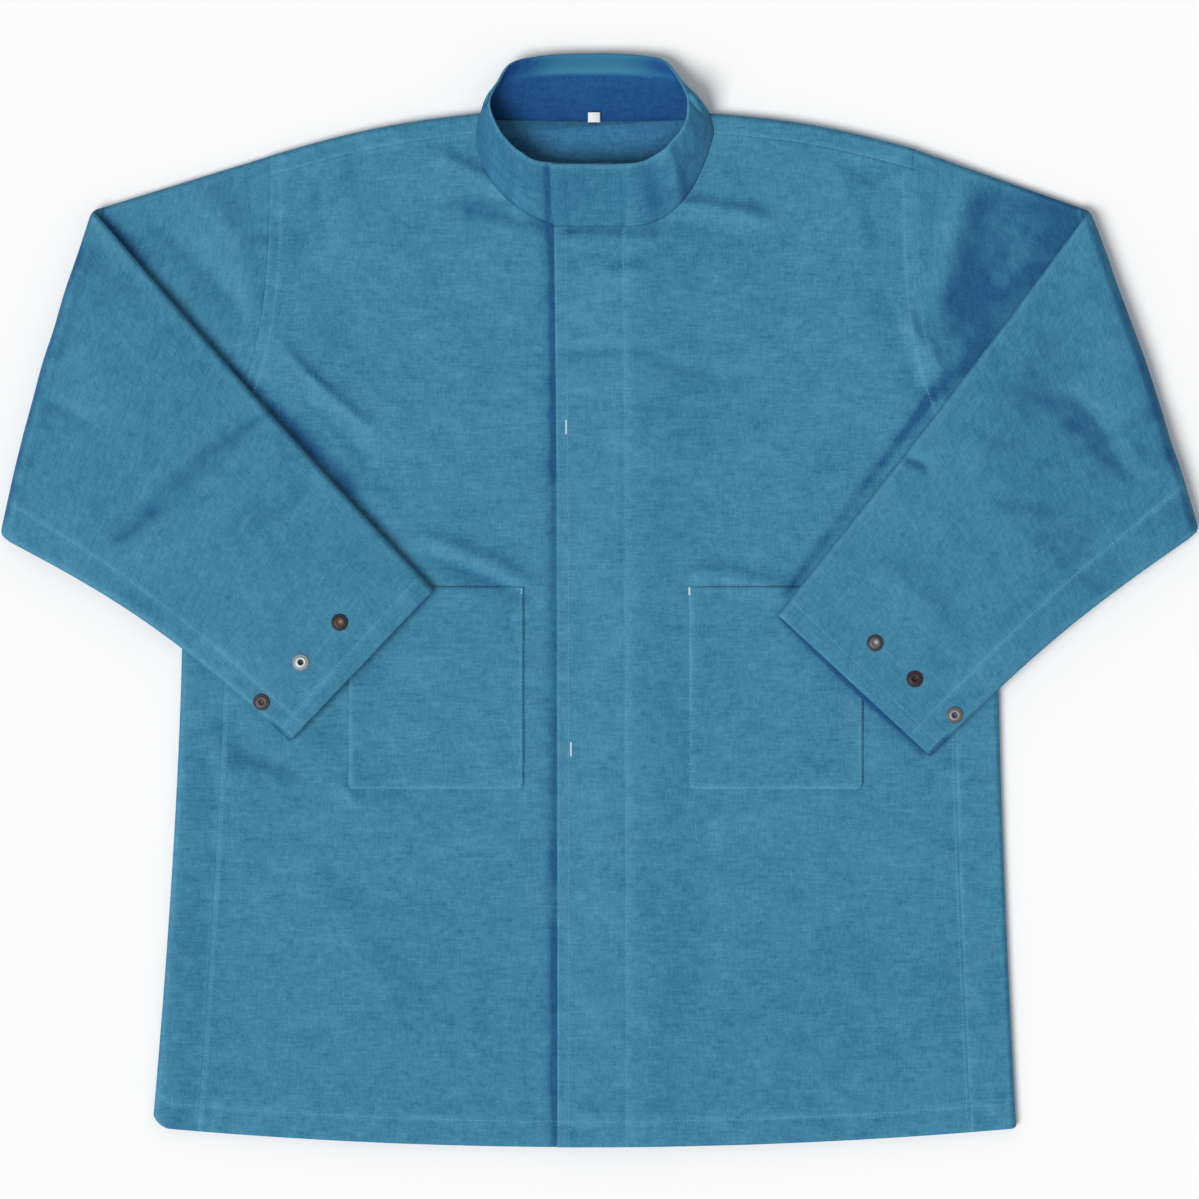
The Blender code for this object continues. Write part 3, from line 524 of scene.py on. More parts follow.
class Path:
    """A line of points in plan, read by its length."""

    def __init__(self, points):
        self.points = np.array([p[:2] for p in points], float)
        steps = np.linalg.norm(np.diff(self.points, axis=0), axis=1)
        self.reached = np.concatenate([[0.0], np.cumsum(steps)])
        self.length = self.reached[-1]

    def at(self, share):
        reach = np.asarray(share, float) * self.length
        return np.stack([np.interp(reach, self.reached, self.points[:, k]) for k in (0, 1)], -1)

    def near(self, p):
        """Distance from the line and length along it, for each place."""
        best = np.full(p.shape[:-1], 1e9)
        along = np.zeros(p.shape[:-1])
        for k, step in enumerate(np.diff(self.points, axis=0)):
            size = math.hypot(*step)
            if size < 1e-6:
                continue
            share, away = segment(self.points[k], step, p)
            closer = away < best
            best = np.where(closer, away, best)
            along = np.where(closer, self.reached[k] + share * size, along)
        return best, along

    def inset(self, distance):
        """The same line moved to its left."""
        way = np.gradient(self.points, axis=0)
        normal = unit(np.stack([-way[:, 1], way[:, 0]], -1))
        return Path(self.points + normal * distance)

    def part(self, start, end):
        return Path(self.at(np.linspace(start, end, 60)))


# Levels of the body


def fold_height(p):
    """How far the broad folds lift or sink the front."""
    total = np.zeros(p.shape[:-1])
    for fold in folds:
        away = segment(*stroke(fold, vec(chest_width, back_length)), p)[1]
        total += fold["height"] * bell(away, fold["width"] * chest_width)
    return total * body_crown


def crease_height(layer_name, p):
    """The creases of one layer: ridges and hollows that die out at their ends."""
    total = np.zeros(p.shape[:-1])
    for row in creases[layer_name]:
        start, line = stroke(row)
        length = float(np.linalg.norm(line))
        share = (p - start) @ line / length**2
        inside = np.clip(share, 0, 1)
        bow = row["bow"] / 1000 * 4 * inside * (1 - inside)
        away = (p - start) @ vec(-line[1], line[0]) / length - bow
        width = np.where(away > 0, row["left"], row["right"]) / 1000
        ends = ramp((share + 0.20) / 0.45) * ramp((1.20 - share) / 0.45)
        crest = np.exp(-np.abs(away / width) ** crease_sharpness)
        total += crease_strength * row["height"] / 1000 * crest * ends
    return total


def shade(layer_name, p):
    """How much painted shade darkens the cloth of one layer, from the table of hollows and edges."""
    total = np.zeros(p.shape[:-1])
    for row in shades[layer_name]:
        away = segment(*stroke(row), p)[1]
        ragged = 1 + 0.45 * unevenness(p, 0.009, row["seed"])
        total += row["tone"] * ragged * bell(away, row["width"] / 1000)
    return total


def puckers(path, p, size, reach, height, seed):
    """The small waves that a row of stitches pulls into cloth."""
    away, along = path.near(p)
    wave = noise(along, away * 0.3, size, seed) + 0.5 * noise(along, away * 0.3, size / 2, seed + 7)
    return height * wave * bell(away, reach)


def hem_line(x):
    """Height of the bottom edge, lowest in the middle and rounded up at its corners."""
    x = np.asarray(x, float)
    corner = np.where(x < 0, 0.013, 0.004)
    half = np.where(x < 0, sides[-1]["hem_share"], sides[1]["hem_share"]) * hem_width
    inside = np.clip(1 - (half - np.abs(x)) / corner, 0, 1)
    return hem_dip * (2 * x / hem_width) ** 2 + corner * (1 - np.sqrt(np.clip(1 - inside**2, 0, None)))


def hem_row(start, end, count):
    """The row of stitches along the hem, from one place across to another."""
    return Path([vec(x, hem_line(x) + hem_depth) for x in np.linspace(start, end, count)])


def side_fold(sign, y):
    """Outermost place of the side of the body, as far as the middle of its cloth."""
    flare = np.clip(1 - y / flare_height, 0, None) ** 1.5
    half_hem = sides[sign]["hem_share"] * hem_width
    return sign * (mix(chest_width / 2, half_hem, flare) - cloth / 2)


def shoulder_tip(sign):
    drop = sides[sign]["drop_share"] * shoulder_drop
    return vec(sign * sides[sign]["shoulder_share"] * shoulder_width, back_length - drop)


def neck_tip(sign):
    return vec(sign * sides[sign]["neck_share"] * neck_width, back_length + neck_sag)


def armhole_points(sign):
    """The armhole seam from the armpit to the top of the shoulder, in plan."""
    low = vec(side_fold(sign, armpit_height), armpit_height)
    high = shoulder_tip(sign)
    depth = high[1] - low[1]
    near_low = low + vec(-sign, 1) * armpit_curve * depth
    near_high = high - vec(0, 1) * shoulder_curve * depth
    return [bezier(low, near_low, near_high, high, t) for t in np.linspace(0, 1, 61)]


armholes = {sign: Path(armhole_points(sign)) for sign in (-1, 1)}


def armhole_insets(sign):
    return edge_radius / armholes[sign].length, edge_radius * math.sqrt(2) / armholes[sign].length


def armhole_stops(sign):
    high, low = armhole_insets(sign)
    return [armholes[sign].at(share) for share in np.linspace(low, 1 - high, ARMHOLE_ROWS)]


def side_point(sign, row, inset):
    """A place inside the side fold, from the hem at 0 to the armhole at 1."""
    low = hem_line(side_fold(sign, 0) - sign * inset)
    line = armholes[sign].points[:40]
    order = np.argsort(line[:, 0])
    high = np.interp(side_fold(sign, armpit_height) - sign * inset, line[order, 0], line[order, 1])
    return vec(side_fold(sign, row * armpit_height) - sign * inset, mix(low, high, row))


def shoulder_fold(sign, share):
    """The outline of the shoulder from its tip at 0 to the neck at 1."""
    bow = vec(0, shoulder_bow * math.sin(math.pi * share))
    return mix(shoulder_tip(sign), neck_tip(sign), share) + bow - vec(0, cloth / 2)


def shoulder_point(sign, share, depth, level_share=1):
    """A place inside the fold of the shoulder, on the floor at level 0 and on the front at 1."""
    floor_way = vec(-sign * 0.75, -1)
    top_way = vec(sign * 0.22, -1)
    way = mix(vec(0, -1), mix(floor_way, top_way, level_share), ramp(share))
    return shoulder_fold(sign, share) + way * depth


def placket_edge(y):
    """The overlapping edge of the wearer's left front, a little uneven."""
    lean = placket_lean * np.clip(y / back_length, 0, None) ** 4
    return -placket_width / 2 - lean + placket_lean * 0.35


def underlap_edge(y):
    return placket_edge(np.minimum(y, 0.0)) + underlap_width


neck_bottom = back_length - neck_drop


def front_neck_curve(sign, t):
    """The front neckline from the shoulder seam at 0 to the front at 1, in plan."""
    start = shoulder_point(sign, 1, shoulder_wrap)
    half = neck_width / 2
    if sign < 0:
        end = vec(placket_edge(neck_bottom), neck_bottom + 0.02 * neck_drop)
        first = vec(start[0], mix(start[1], neck_bottom, 0.48))
        second = vec(-half * 0.70, mix(start[1], neck_bottom, 0.84))
    else:
        end = vec(half * 0.35, neck_bottom)
        first = vec(start[0] - 0.10 * half, mix(start[1], neck_bottom, 0.48))
        second = vec(half * 0.78, neck_bottom)
    return bezier(start, first, second, end, t)


def seam_paths(sign):
    """The seams of one side of the body, in plan."""
    side = [side_point(sign, row, side_wrap) for row in np.linspace(0, 1, 40)]
    shoulder = [shoulder_point(sign, share, shoulder_wrap) for share in np.linspace(0, 1, 20)]
    return {"side": Path(side), "shoulder": Path(shoulder), "armhole": armholes[sign]}


seams = {sign: seam_paths(sign) for sign in (-1, 1)}
hem_stitch = hem_row(side_fold(-1, 0), side_fold(1, 0), 60)


def body_detail(p):
    """Creases, puckers and unevenness that all the layers on the front share."""
    x, y = p[..., 0], p[..., 1]
    total = crease_height("front", p) + 0.00034 * noise(x, y, 0.026, 3)
    total += 0.00018 * noise(x, y, 0.011, 5) + 0.00040 * noise(x, y * 0.5, 0.060, 8)
    for sign in (-1, 1):
        for row in named(PUCKER_COLUMNS, PUCKERS):
            total += puckers(seams[sign][row["seam"]], p, row["size"], row["reach"], row["height"],
                             row["seed"] + sign)
    total += puckers(hem_stitch, p, 0.013, 0.010, 0.00050, 33)
    away = np.minimum(np.abs(side_fold(1, y) - x), np.abs(side_fold(-1, y) - x))
    beside = ramp(away / 0.022)
    above = ramp((back_length - y - 0.006) / 0.022)
    return total * (0.25 + 0.75 * beside) * np.where(np.abs(x) < 0.24, above, 1.0)


def body_arch(p):
    return np.clip(1 - (2 * p[..., 0] / chest_width) ** 2, 0, None)


def front_level(p):
    """Middle of the cloth on the upper side of the body and of the upper arms."""
    crown = body_arch(p)
    return top_level + body_crown * crown + fold_height(p) * ramp(crown * 4) + body_detail(p)


def lap(sign, seam, p):
    return lap_drop * bell(seams[sign][seam].near(p)[0], lap_reach)


def left_front_level(p):
    """The overlapping front, with its turned edge and the rows of stitches of the placket."""
    x, y = p[..., 0], p[..., 1]
    depth = x - placket_edge(y)
    lift = 2 * layer * (1 - ramp((depth - placket_width - placket_margin) / placket_ramp))
    turned = 0.0005 * ramp((edge_stitch_inset + 0.001 - depth) / 0.003)
    slack = 0.0006 * noise(x * 0.2, y, 0.045, 41) * ramp(1 - np.abs(depth - 0.030) / 0.022)
    edge_wave = 0.00050 * noise(depth * 0.3, y, 0.014, 43) * bell(depth, 0.010)
    seam_wave = 0.00045 * noise(depth * 0.3, y, 0.013, 44) * bell(depth - placket_width, 0.009)
    groove = 0.0005 * bell(depth - placket_width, 0.0022)
    laps = lap(1, "side", p) + lap(1, "shoulder", p)
    return front_level(p) + lift + turned + slack + edge_wave + seam_wave - groove - laps


def right_front_level(p):
    """The underlap, which sinks under the hidden snaps."""
    depth = p[..., 0] - placket_edge(p[..., 1])
    dip = (snap_thickness + gap) * ramp((depth - snap_diameter / 2) / 0.012)
    beside = 0.0007 * bell(depth + 0.003, 0.006)
    return front_level(p) - dip - beside + lap(-1, "side", p) - lap(-1, "shoulder", p)


# Outlines and levels of the folded sleeves


def turned(degrees, sign=1):
    """A direction in plan, down from straight outwards by some degrees."""
    angle = math.radians(degrees)
    return vec(sign * math.cos(angle), -math.sin(angle))


def sleeve_frame(sign):
    """Corners and inward direction of one folded sleeve."""
    row = sleeves[sign]
    shoulder = shoulder_fold(sign, 0)
    top = shoulder + turned(row["arm_drop"], sign) * upper_arm_length
    lean = math.radians(row["fold_lean"])
    bottom = top + vec(sign * math.sin(lean), -math.cos(lean)) * sleeve_width
    cuff_top = top + turned(row["forearm_drop"], -sign) * forearm_length
    line = armholes[sign].points[::-1].copy()
    line[0] = shoulder
    return {**row, "top": top, "bottom": bottom, "cuff_top": cuff_top,
            "cuff_bottom": cuff_top + turned(row["cuff_drop"], sign) * cuff_width,
            "inward": turned(row["fold_lean"], -sign), "armhole": Path(line)}


arms = {sign: sleeve_frame(sign) for sign in (-1, 1)}


def fold_line(arm, t):
    wave = 0.0009 * noise(t * sleeve_width, 0 * t, 0.030, 50 + arm["sign"])
    bow = (arm["fold_bow"] * sleeve_width + wave) * np.sin(math.pi * np.clip(t, 0, 1))
    return mix(arm["top"], arm["bottom"], t[..., None]) - arm["inward"] * bow[..., None]


def armhole_line(arm, t):
    return arm["armhole"].at(t) + np.stack([arm["sign"] + 0 * t, t], -1) * -seam_lap


def cuff_line(arm, t):
    return mix(arm["cuff_top"], arm["cuff_bottom"], t[..., None])


def forearm_plan(arm, s, t):
    """A place on the folded-over forearm: s from the fold to the cuff, t across it."""
    across = unit(arm["bottom"] - arm["top"]) * forearm_length * math.sin(math.pi * s)
    t2 = t[..., None]
    bows = across * (arm["under_bow"] * t2 - arm["upper_bow"] * (1 - t2))
    return mix(fold_line(arm, t), cuff_line(arm, t), s) + bows


def bend_way(arm, t, far_line):
    way = far_line(arm, t) - fold_line(arm, t)
    return way / (way @ arm["inward"])[..., None]


def forearm_detail(arm, place, s, t):
    """Creases of the upper cloth of a forearm, with the turned and stitched cuff."""
    seed = 65 + 5 * arm["sign"]
    total = crease_height(arm["side"] + "_forearm", place)
    total += 0.00055 * unevenness(place, 0.034, seed) + 0.00022 * unevenness(place, 0.012, seed + 1)
    to_cuff = (1 - s) * forearm_length
    total += 0.0005 * ramp((cuff_hem_depth + 0.001 - to_cuff) / 0.003)
    wave = noise(t * cuff_width, 0 * t, 0.013, seed + 2)
    return total + 0.0005 * wave * bell(to_cuff - cuff_hem_depth, 0.010)


def forearm_levels(arm, place, s, t, depth):
    """Levels of the lower and the upper cloth of a forearm."""
    beyond = np.clip(depth - fold_reach, 0, None)
    lift = mix(2 * layer, 2 * inner_fold, np.exp(-beyond / fold_relax))
    lower = front_level(place) + lift
    inside = np.sin(math.pi * np.clip(t, 0.0, 1.0))
    detail = forearm_detail(arm, place, s, t) * (0.35 + 0.65 * ramp(inside * 3))
    smooth = mix(lower, top_level + body_crown * body_arch(place) + lift, 0.75)
    roll = arm_roll * np.exp(-beyond / arm_roll_reach)
    return lower, smooth + cloth + sleeve_loft + sleeve_crown * inside + detail - roll


def upper_arm_level(arm, place, s):
    """The upper cloth of the upper arm, level with the body at the armhole."""
    return front_level(place) + crease_height(arm["side"] + "_upper", place) * ramp((1 - s) * 6)


def sleeve_stations():
    stations = [("upper", s) for s in np.linspace(1, 0, UPPER_ARM_STEPS + 1)[:-1]]
    stations += [("bend", angle) for angle in np.linspace(-90, 90, BEND_STEPS + 1)]
    stations += [("forearm", s) for s in np.linspace(0, 1, FOREARM_STEPS + 1)[1:]]
    return stations


def raised(place, level):
    return np.concatenate([place, np.broadcast_to(level, place.shape[:-1])[..., None]], -1)


def lane_points(arm, station, t):
    """The inner and the outer cloth of a sleeve at the lanes of one station."""
    kind, value = station
    fold = fold_line(arm, t)
    low_way, high_way = bend_way(arm, t, armhole_line), bend_way(arm, t, cuff_line)
    low_edge, high_edge = fold + low_way * fold_reach, fold + high_way * fold_reach
    if kind == "upper":
        place = mix(low_edge, armhole_line(arm, t), value)
        level = upper_arm_level(arm, place, value) + arm["sign"] * lap_drop * value
        return raised(place, level), raised(place, floor_level)
    if kind == "forearm":
        place = forearm_plan(arm, value, t) + (high_edge - fold) * (1 - value)
        lower, upper = forearm_levels(arm, place, value, t, (place - fold) @ arm["inward"])
        cuff = arm["cuff_top"] - arm["cuff_bottom"]
        out = unit(vec(cuff[1], -cuff[0]))
        out = out * np.sign(out @ (arm["cuff_top"] - arm["top"]))
        reveal = out * cuff_reveal * (arm["sign"] > 0) * ramp((value - 0.8) * 5)
        shown = np.sin(math.pi * np.clip(t, 0, 1)) ** 0.5
        return raised(place + reveal * shown[..., None], lower), raised(place, upper)
    angle = math.radians(value)
    way = low_way if value < 0 else high_way
    outer_place = fold + way * fold_reach * (1 - math.cos(angle))
    inner_place = fold + way * (fold_reach - inner_fold * math.cos(angle))
    lower, upper = forearm_levels(arm, high_edge, 0.0, t, fold_reach)
    share = (1 + math.sin(angle)) / 2
    inner = mix(upper_arm_level(arm, low_edge, 0.0), lower, share)
    return raised(inner_place, inner), raised(outer_place, mix(floor_level, upper, share))


def sleeve_section(arm, station):
    """One closed section of a sleeve: inner cloth, lower edge, outer cloth, upper edge."""
    ends = lane_points(arm, station, vec(0.0, 1.0))
    length = np.linalg.norm(ends[0][1, :2] - ends[0][0, :2])
    start_inset = end_inset = edge_radius / length
    if station[0] == "upper":
        seam_start, seam_end = armhole_insets(arm["sign"])
        start_inset = mix(start_inset, seam_start, station[1])
        end_inset = mix(end_inset, seam_end, station[1])
    inner, outer = lane_points(arm, station, np.linspace(start_inset, 1 - end_inset, SLEEVE_LANES))
    turns = np.radians(np.linspace(90, -90, SLEEVE_EDGE_STEPS + 1)[1:-1])[:, None]
    share = (1 - np.sin(turns)) / 2

    def edge(k, low, high):
        out = mix(ends[0][k] - low, ends[1][k] - high, share)
        return mix(low, high, share) + out * np.cos(turns)

    return np.concatenate([inner, edge(1, inner[-1], outer[-1]), outer[::-1],
                           edge(0, inner[0], outer[0])[::-1]])


collar_reach = max(row["up"] for row in collar_top) * collar_height + back_length
middle = vec(arms[-1]["bottom"][0] + arms[1]["bottom"][0], collar_reach) / 2


def placed(points):
    points = np.array(points, float)
    points[..., :2] -= middle
    return points


# Materials


def feed(tree, socket, value):
    if isinstance(value, bpy.types.NodeSocket):
        tree.links.new(value, socket)
    else:
        socket.default_value = value


def node(tree, kind, **inputs):
    """A shader node with values or links for its inputs, by name."""
    made = tree.nodes.new(kind)
    for name, value in inputs.items():
        feed(tree, made.inputs[name.replace("_", " ")], value)
    return made


def math_node(tree, operation, *values, clamp=False):
    made = tree.nodes.new("ShaderNodeMath")
    made.operation = operation
    made.use_clamp = clamp
    for socket, value in zip(made.inputs, values):
        feed(tree, socket, value)
    return made.outputs[0]


def streaks(tree, grain, across, along, seed):
    """Noise in metres of cloth, stretched to the two lengths."""
    spot = node(tree, "ShaderNodeMapping", Vector=grain, Scale=(1 / across, 1 / along, 1),
                Location=(seed * 13.7, seed * 7.3, seed)).outputs[0]
    return node(tree, "ShaderNodeTexNoise", Vector=spot, Scale=1.0, Detail=1.0,
                Roughness=0.5).outputs["Fac"]


def weighted(tree, parts):
    """The sum of several noises about their middle, each with its own weight."""
    total = None
    for value, weight in parts:
        part = math_node(tree, "MULTIPLY_ADD", value, weight, -weight / 2)
        total = part if total is None else math_node(tree, "ADD", total, part)
    return total


def woven_material(name, colour, seed, rubbed_and_lit_colour=thread_colour, rubbed_and_lit_share=0.30):
    """Teal cotton with lighter and darker yarns, soft mottles and a fine relief; its attribute of wear
    and painted shade mixes in the rubbed colour for wear and painted light, and darkens it with painted
    shade.
    """
    material = bpy.data.materials.new(name)
    material.use_nodes = True
    tree = material.node_tree
    shader = tree.nodes["Principled BSDF"]
    grain = tree.nodes.new("ShaderNodeUVMap").outputs[0]
    rows = named(YARN_COLUMNS, YARNS)
    yarns = [streaks(tree, grain, row["across"], row["along"], seed + row["seed"]) for row in rows]
    tone = weighted(tree, [(yarn, row["tone"]) for yarn, row in zip(yarns, rows)])
    relief = weighted(tree, [(yarn, row["relief"]) for yarn, row in zip(yarns, rows) if row["relief"]])
    tones = tree.nodes.new("ShaderNodeValToRGB")
    tree.links.new(math_node(tree, "ADD", tone, 0.5), tones.inputs[0])
    for stop, shares in zip(tones.color_ramp.elements, (dark_yarn, light_yarn)):
        stop.color = (*[c * k for c, k in zip(colour, shares)], 1)
    # Above nothing the attribute mixes in the rubbed colour, which on the collar's inside paints light on
    # its rolled-over back; below nothing it multiplies in the painted shade tone
    wear_and_shade = tree.nodes.new("ShaderNodeAttribute")
    wear_and_shade.attribute_name = "wear_and_painted_shade"
    light, dark = (math_node(tree, "MULTIPLY", wear_and_shade.outputs["Fac"], share, clamp=True)
                   for share in (rubbed_and_lit_share, -1.0))
    rubbed = node(tree, "ShaderNodeMixRGB", Fac=light, Color1=tones.outputs[0],
                  Color2=(*rubbed_and_lit_colour, 1))
    shaded = node(tree, "ShaderNodeMixRGB", Fac=dark, Color1=rubbed.outputs[0],
                  Color2=(*shade_tone, 1))
    shaded.blend_type = "MULTIPLY"
    bump = node(tree, "ShaderNodeBump", Height=relief, Strength=0.35, Distance=0.0004)
    feed(tree, shader.inputs["Base Color"], shaded.outputs[0])
    feed(tree, shader.inputs["Normal"], bump.outputs[0])
    feed(tree, shader.inputs["Roughness"], 0.92)
    feed(tree, shader.inputs["Specular IOR Level"], 0.15)
    feed(tree, shader.inputs["Sheen Weight"], 0.03)
    return material


def plain_material(name, colour, roughness, metallic=0.0):
    material = bpy.data.materials.new(name)
    material.use_nodes = True
    shader = material.node_tree.nodes["Principled BSDF"]
    shader.inputs["Base Color"].default_value = (*colour, 1)
    shader.inputs["Roughness"].default_value = roughness
    shader.inputs["Metallic"].default_value = metallic
    return material


cloth_look = woven_material("jacket_cloth", body_colour, 1)
collar_look = woven_material("collar_cloth", body_colour, 3)
# Inside of the collar: a darker, bluer copy of the cloth that paints the shade inside the collar, with a
# rubbed colour that paints light on its rolled-over back
collar_inner_look = woven_material("collar_inside", (0.0135, 0.092, 0.262), 4,
                                   rubbed_and_lit_colour=(0.048, 0.235, 0.365), rubbed_and_lit_share=0.9)
# Inside of the body and sleeves: darker and bluer than the outside, partly the inside's own colour and
# partly painted shade
back_inner_look = woven_material("jacket_inside", (0.040, 0.180, 0.340), 5)
sleeve_look = woven_material("sleeve_cloth", tuple(c * 0.97 for c in body_colour), 2)
thread_look = plain_material("thread", thread_colour, 0.7)
bartack_look = plain_material("bartack_thread", bartack_colour, 0.7)


# Making of pieces


def column(items, name, width, kind=float):
    values = np.zeros(len(items) * width, kind)
    items.foreach_get(name, values)
    return values.reshape(-1, width)


def relief_shade(mesh):
    """Painted shade: darker cloth on slopes that face away from the front left, where the light comes
    from, and in hollows.
    """
    count = len(mesh.vertices)
    normals = column(mesh.vertex_normals, "vector", 3)
    normals *= np.where(normals[:, 2:] < 0, -1, 1)
    levels = column(mesh.vertices, "co", 3)[:, 2]
    ends = column(mesh.edges, "vertices", 2, int)
    share = np.maximum(np.bincount(ends.ravel(), minlength=count), 1)
    smooth = levels.copy()
    for _ in range(hollow_passes):
        total = np.bincount(ends[:, 0], smooth[ends[:, 1]], count)
        total += np.bincount(ends[:, 1], smooth[ends[:, 0]], count)
        smooth = (smooth + total / share) / 2
    hollow = np.clip((smooth - levels) / hollow_depth, -0.3, 0.6)
    slope = np.clip((normals[:, 0] * 0.77 + normals[:, 1] * 0.64) * slope_tone, -0.25, 0.55)
    return (hollow + slope) * ramp((normals[:, 2] - 0.6) / 0.3)


def linked(name, mesh, looks):
    for look in looks:
        mesh.materials.append(look)
    piece = bpy.data.objects.new(name, mesh)
    bpy.context.scene.collection.objects.link(piece)
    return piece


def cloth_piece(name, blocks, look, replaces, thickness=cloth, inner_look=None,
                outward=(0, 0, 1)):
    """A piece of cloth from grids of points with their places on the flat cloth."""
    found = {}
    corners = []
    faces = []

    def index(*corner):
        key = tuple(round(value, 7) for value in corner[0])
        if key not in found:
            found[key] = len(corners)
            corners.append(corner)
        return found[key]

    for grid, grain, cyclic, wear_and_shade in blocks:
        rows = placed(grid).tolist()
        spots = np.asarray(grain, float).tolist()
        wear_and_shade = np.broadcast_to(wear_and_shade, np.shape(grid)[:2]).tolist()
        ids = [[index(*corner) for corner in zip(*line)] for line in zip(rows, spots, wear_and_shade)]
        if len(ids) == 1:
            faces.append(tuple(dict.fromkeys(ids[0])))
        for low, high in zip(ids, ids[1:]):
            for i in range(len(low) - (not cyclic)):
                j = (i + 1) % len(low)
                face = (low[i], low[j], high[j], high[i])
                if len(set(face)) == 4:
                    faces.append(face)
    vertices, grains, wear_and_shade_values = zip(*corners)
    mesh = bpy.data.meshes.new(name)
    mesh.from_pydata(vertices, [], faces)
    work = bmesh.new()
    work.from_mesh(mesh)
    bmesh.ops.recalc_face_normals(work, faces=work.faces)
    layer_uv = work.loops.layers.uv.new("grain")
    for face in work.faces:
        for loop in face.loops:
            loop[layer_uv].uv = grains[loop.vert.index]
    outermost = max(work.faces, key=lambda face: face.calc_center_median() @ Vector(outward))
    if outermost.normal @ Vector(outward) < 0:
        bmesh.ops.reverse_faces(work, faces=work.faces)
    work.to_mesh(mesh)
    work.free()
    mesh.shade_smooth()
    # The attribute holds rubbed wear and painted shade from the blocks, less the painted shade of slopes
    # and hollows
    wear_and_painted_shade = mesh.attributes.new("wear_and_painted_shade", "FLOAT", "POINT")
    wear_and_painted_shade.data.foreach_set("value", np.array(wear_and_shade_values) - relief_shade(mesh))
    piece = linked(name, mesh, (look, inner_look or look))
    thick = piece.modifiers.new("cloth", "SOLIDIFY")
    thick.thickness = thickness
    thick.offset = 0
    thick.use_even_offset = False
    thick.material_offset = 1
    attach(piece, "root")
    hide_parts(replaces)
    return piece


def lifted(plan, level):
    """A grid in plan raised to its levels, with the plan itself as its place on the cloth."""
    return raised(plan, level(plan)), plan


def uneven(wear_and_shade, p, seed):
    """Wear that comes and goes along its line."""
    return wear_and_shade * (0.75 + 0.5 * unevenness(p, 0.018, seed))


def front_wear_and_shade(p):
    """How rubbed the cloth is along the seams and stitches of the body, less the painted shade of the
    body from the table of hollows and edges.
    """
    total = 0.8 * bell(hem_stitch.near(p)[0])
    for sign in (-1, 1):
        side, shoulder, armhole = (path.near(p)[0] for path in seams[sign].values())
        total += 0.7 * bell(side, seam_wear_reach) + 0.7 * bell(shoulder, seam_wear_reach)
        total += 0.5 * bell(armhole, seam_wear_reach) + 0.6 * bell(armhole - seam_stitch_gap)
    return uneven(total, p, 120) - shade("body", p)


def underlap_painted_shadow(p):
    """The painted shadow: a dark line on the cloth where it lies in the shade of the placket's edge."""
    depth = placket_edge(p[..., 1]) - p[..., 0]
    reach = 0.0034 * (1 + 0.3 * noise(0, p[..., 1], 0.012, 125))
    return -1.25 * (0.8 + 0.35 * noise(0, p[..., 1], 0.030, 124)) * bell(depth - 0.0015, reach)


def placket_wear(p):
    depth = p[..., 0] - placket_edge(p[..., 1])
    total = 0.9 * bell(depth - placket_width) + 0.7 * bell(depth - edge_stitch_inset)
    return (total + 0.5 * bell(depth, 0.0012)) * (0.75 + 0.5 * noise(depth, p[..., 1], 0.02, 121))


def wrapped_strip(point_at, stops, wrap):
    """A grid that is wrapped round a fold of the back, from the floor up to the front."""
    turns = np.radians(np.linspace(-90, 90, EDGE_STEPS + 1))
    flat = np.linspace(edge_radius, wrap, STRIP_STEPS + 1)[1:]
    depths = np.concatenate([edge_radius * (1 - np.cos(turns)), flat])
    shares = np.concatenate([(1 + np.sin(turns)) / 2, np.ones(STRIP_STEPS)])
    places = np.array([[point_at(stop, *step) for step in zip(depths, shares)] for stop in stops])
    return raised(places, mix(floor_level, front_level(places), shares)), places


def side_strip(sign):
    """The back wrapped round one side, up to the side seam on the front."""
    grid, grain = wrapped_strip(lambda row, depth, _: side_point(sign, row, depth),
                                np.linspace(0, 1, BODY_ROWS + 1), side_wrap)
    grain[..., 0] += sign * np.arange(grain.shape[1]) * 0.0005
    return grid, grain


def column_shares(sign):
    """Shares across a front panel, from the side to its front edge, closer beside the placket."""
    half = chest_width / 2 - side_wrap
    edge = placket_edge(0) if sign > 0 else -underlap_edge(0)
    width = half - edge
    near = placket_width + 0.008
    depths = [*np.linspace(width, near, PANEL_COLUMNS + 1),
              *np.linspace(near, 0, PLACKET_COLUMNS + 1)[1:]]
    return 1 - np.array(depths) / width


def shoulder_strip(sign):
    """The back wrapped over one shoulder, from the shoulder's tip to the neck."""
    return wrapped_strip(lambda *where: shoulder_point(sign, *where),
                         [*column_shares(sign)[::3], 1.0], shoulder_wrap)


shoulder_grids = {sign: shoulder_strip(sign) for sign in (-1, 1)}


def back_neckline():
    """The neckline across the back, on the floor."""
    right, left = (shoulder_grids[sign][0][-1][0] for sign in (-1, 1))
    return [mix(right, left, share) - vec(0, neck_sag * math.sin(math.pi * share), 0)
            for share in np.linspace(0, 1, NECK_COLUMNS + 1)]


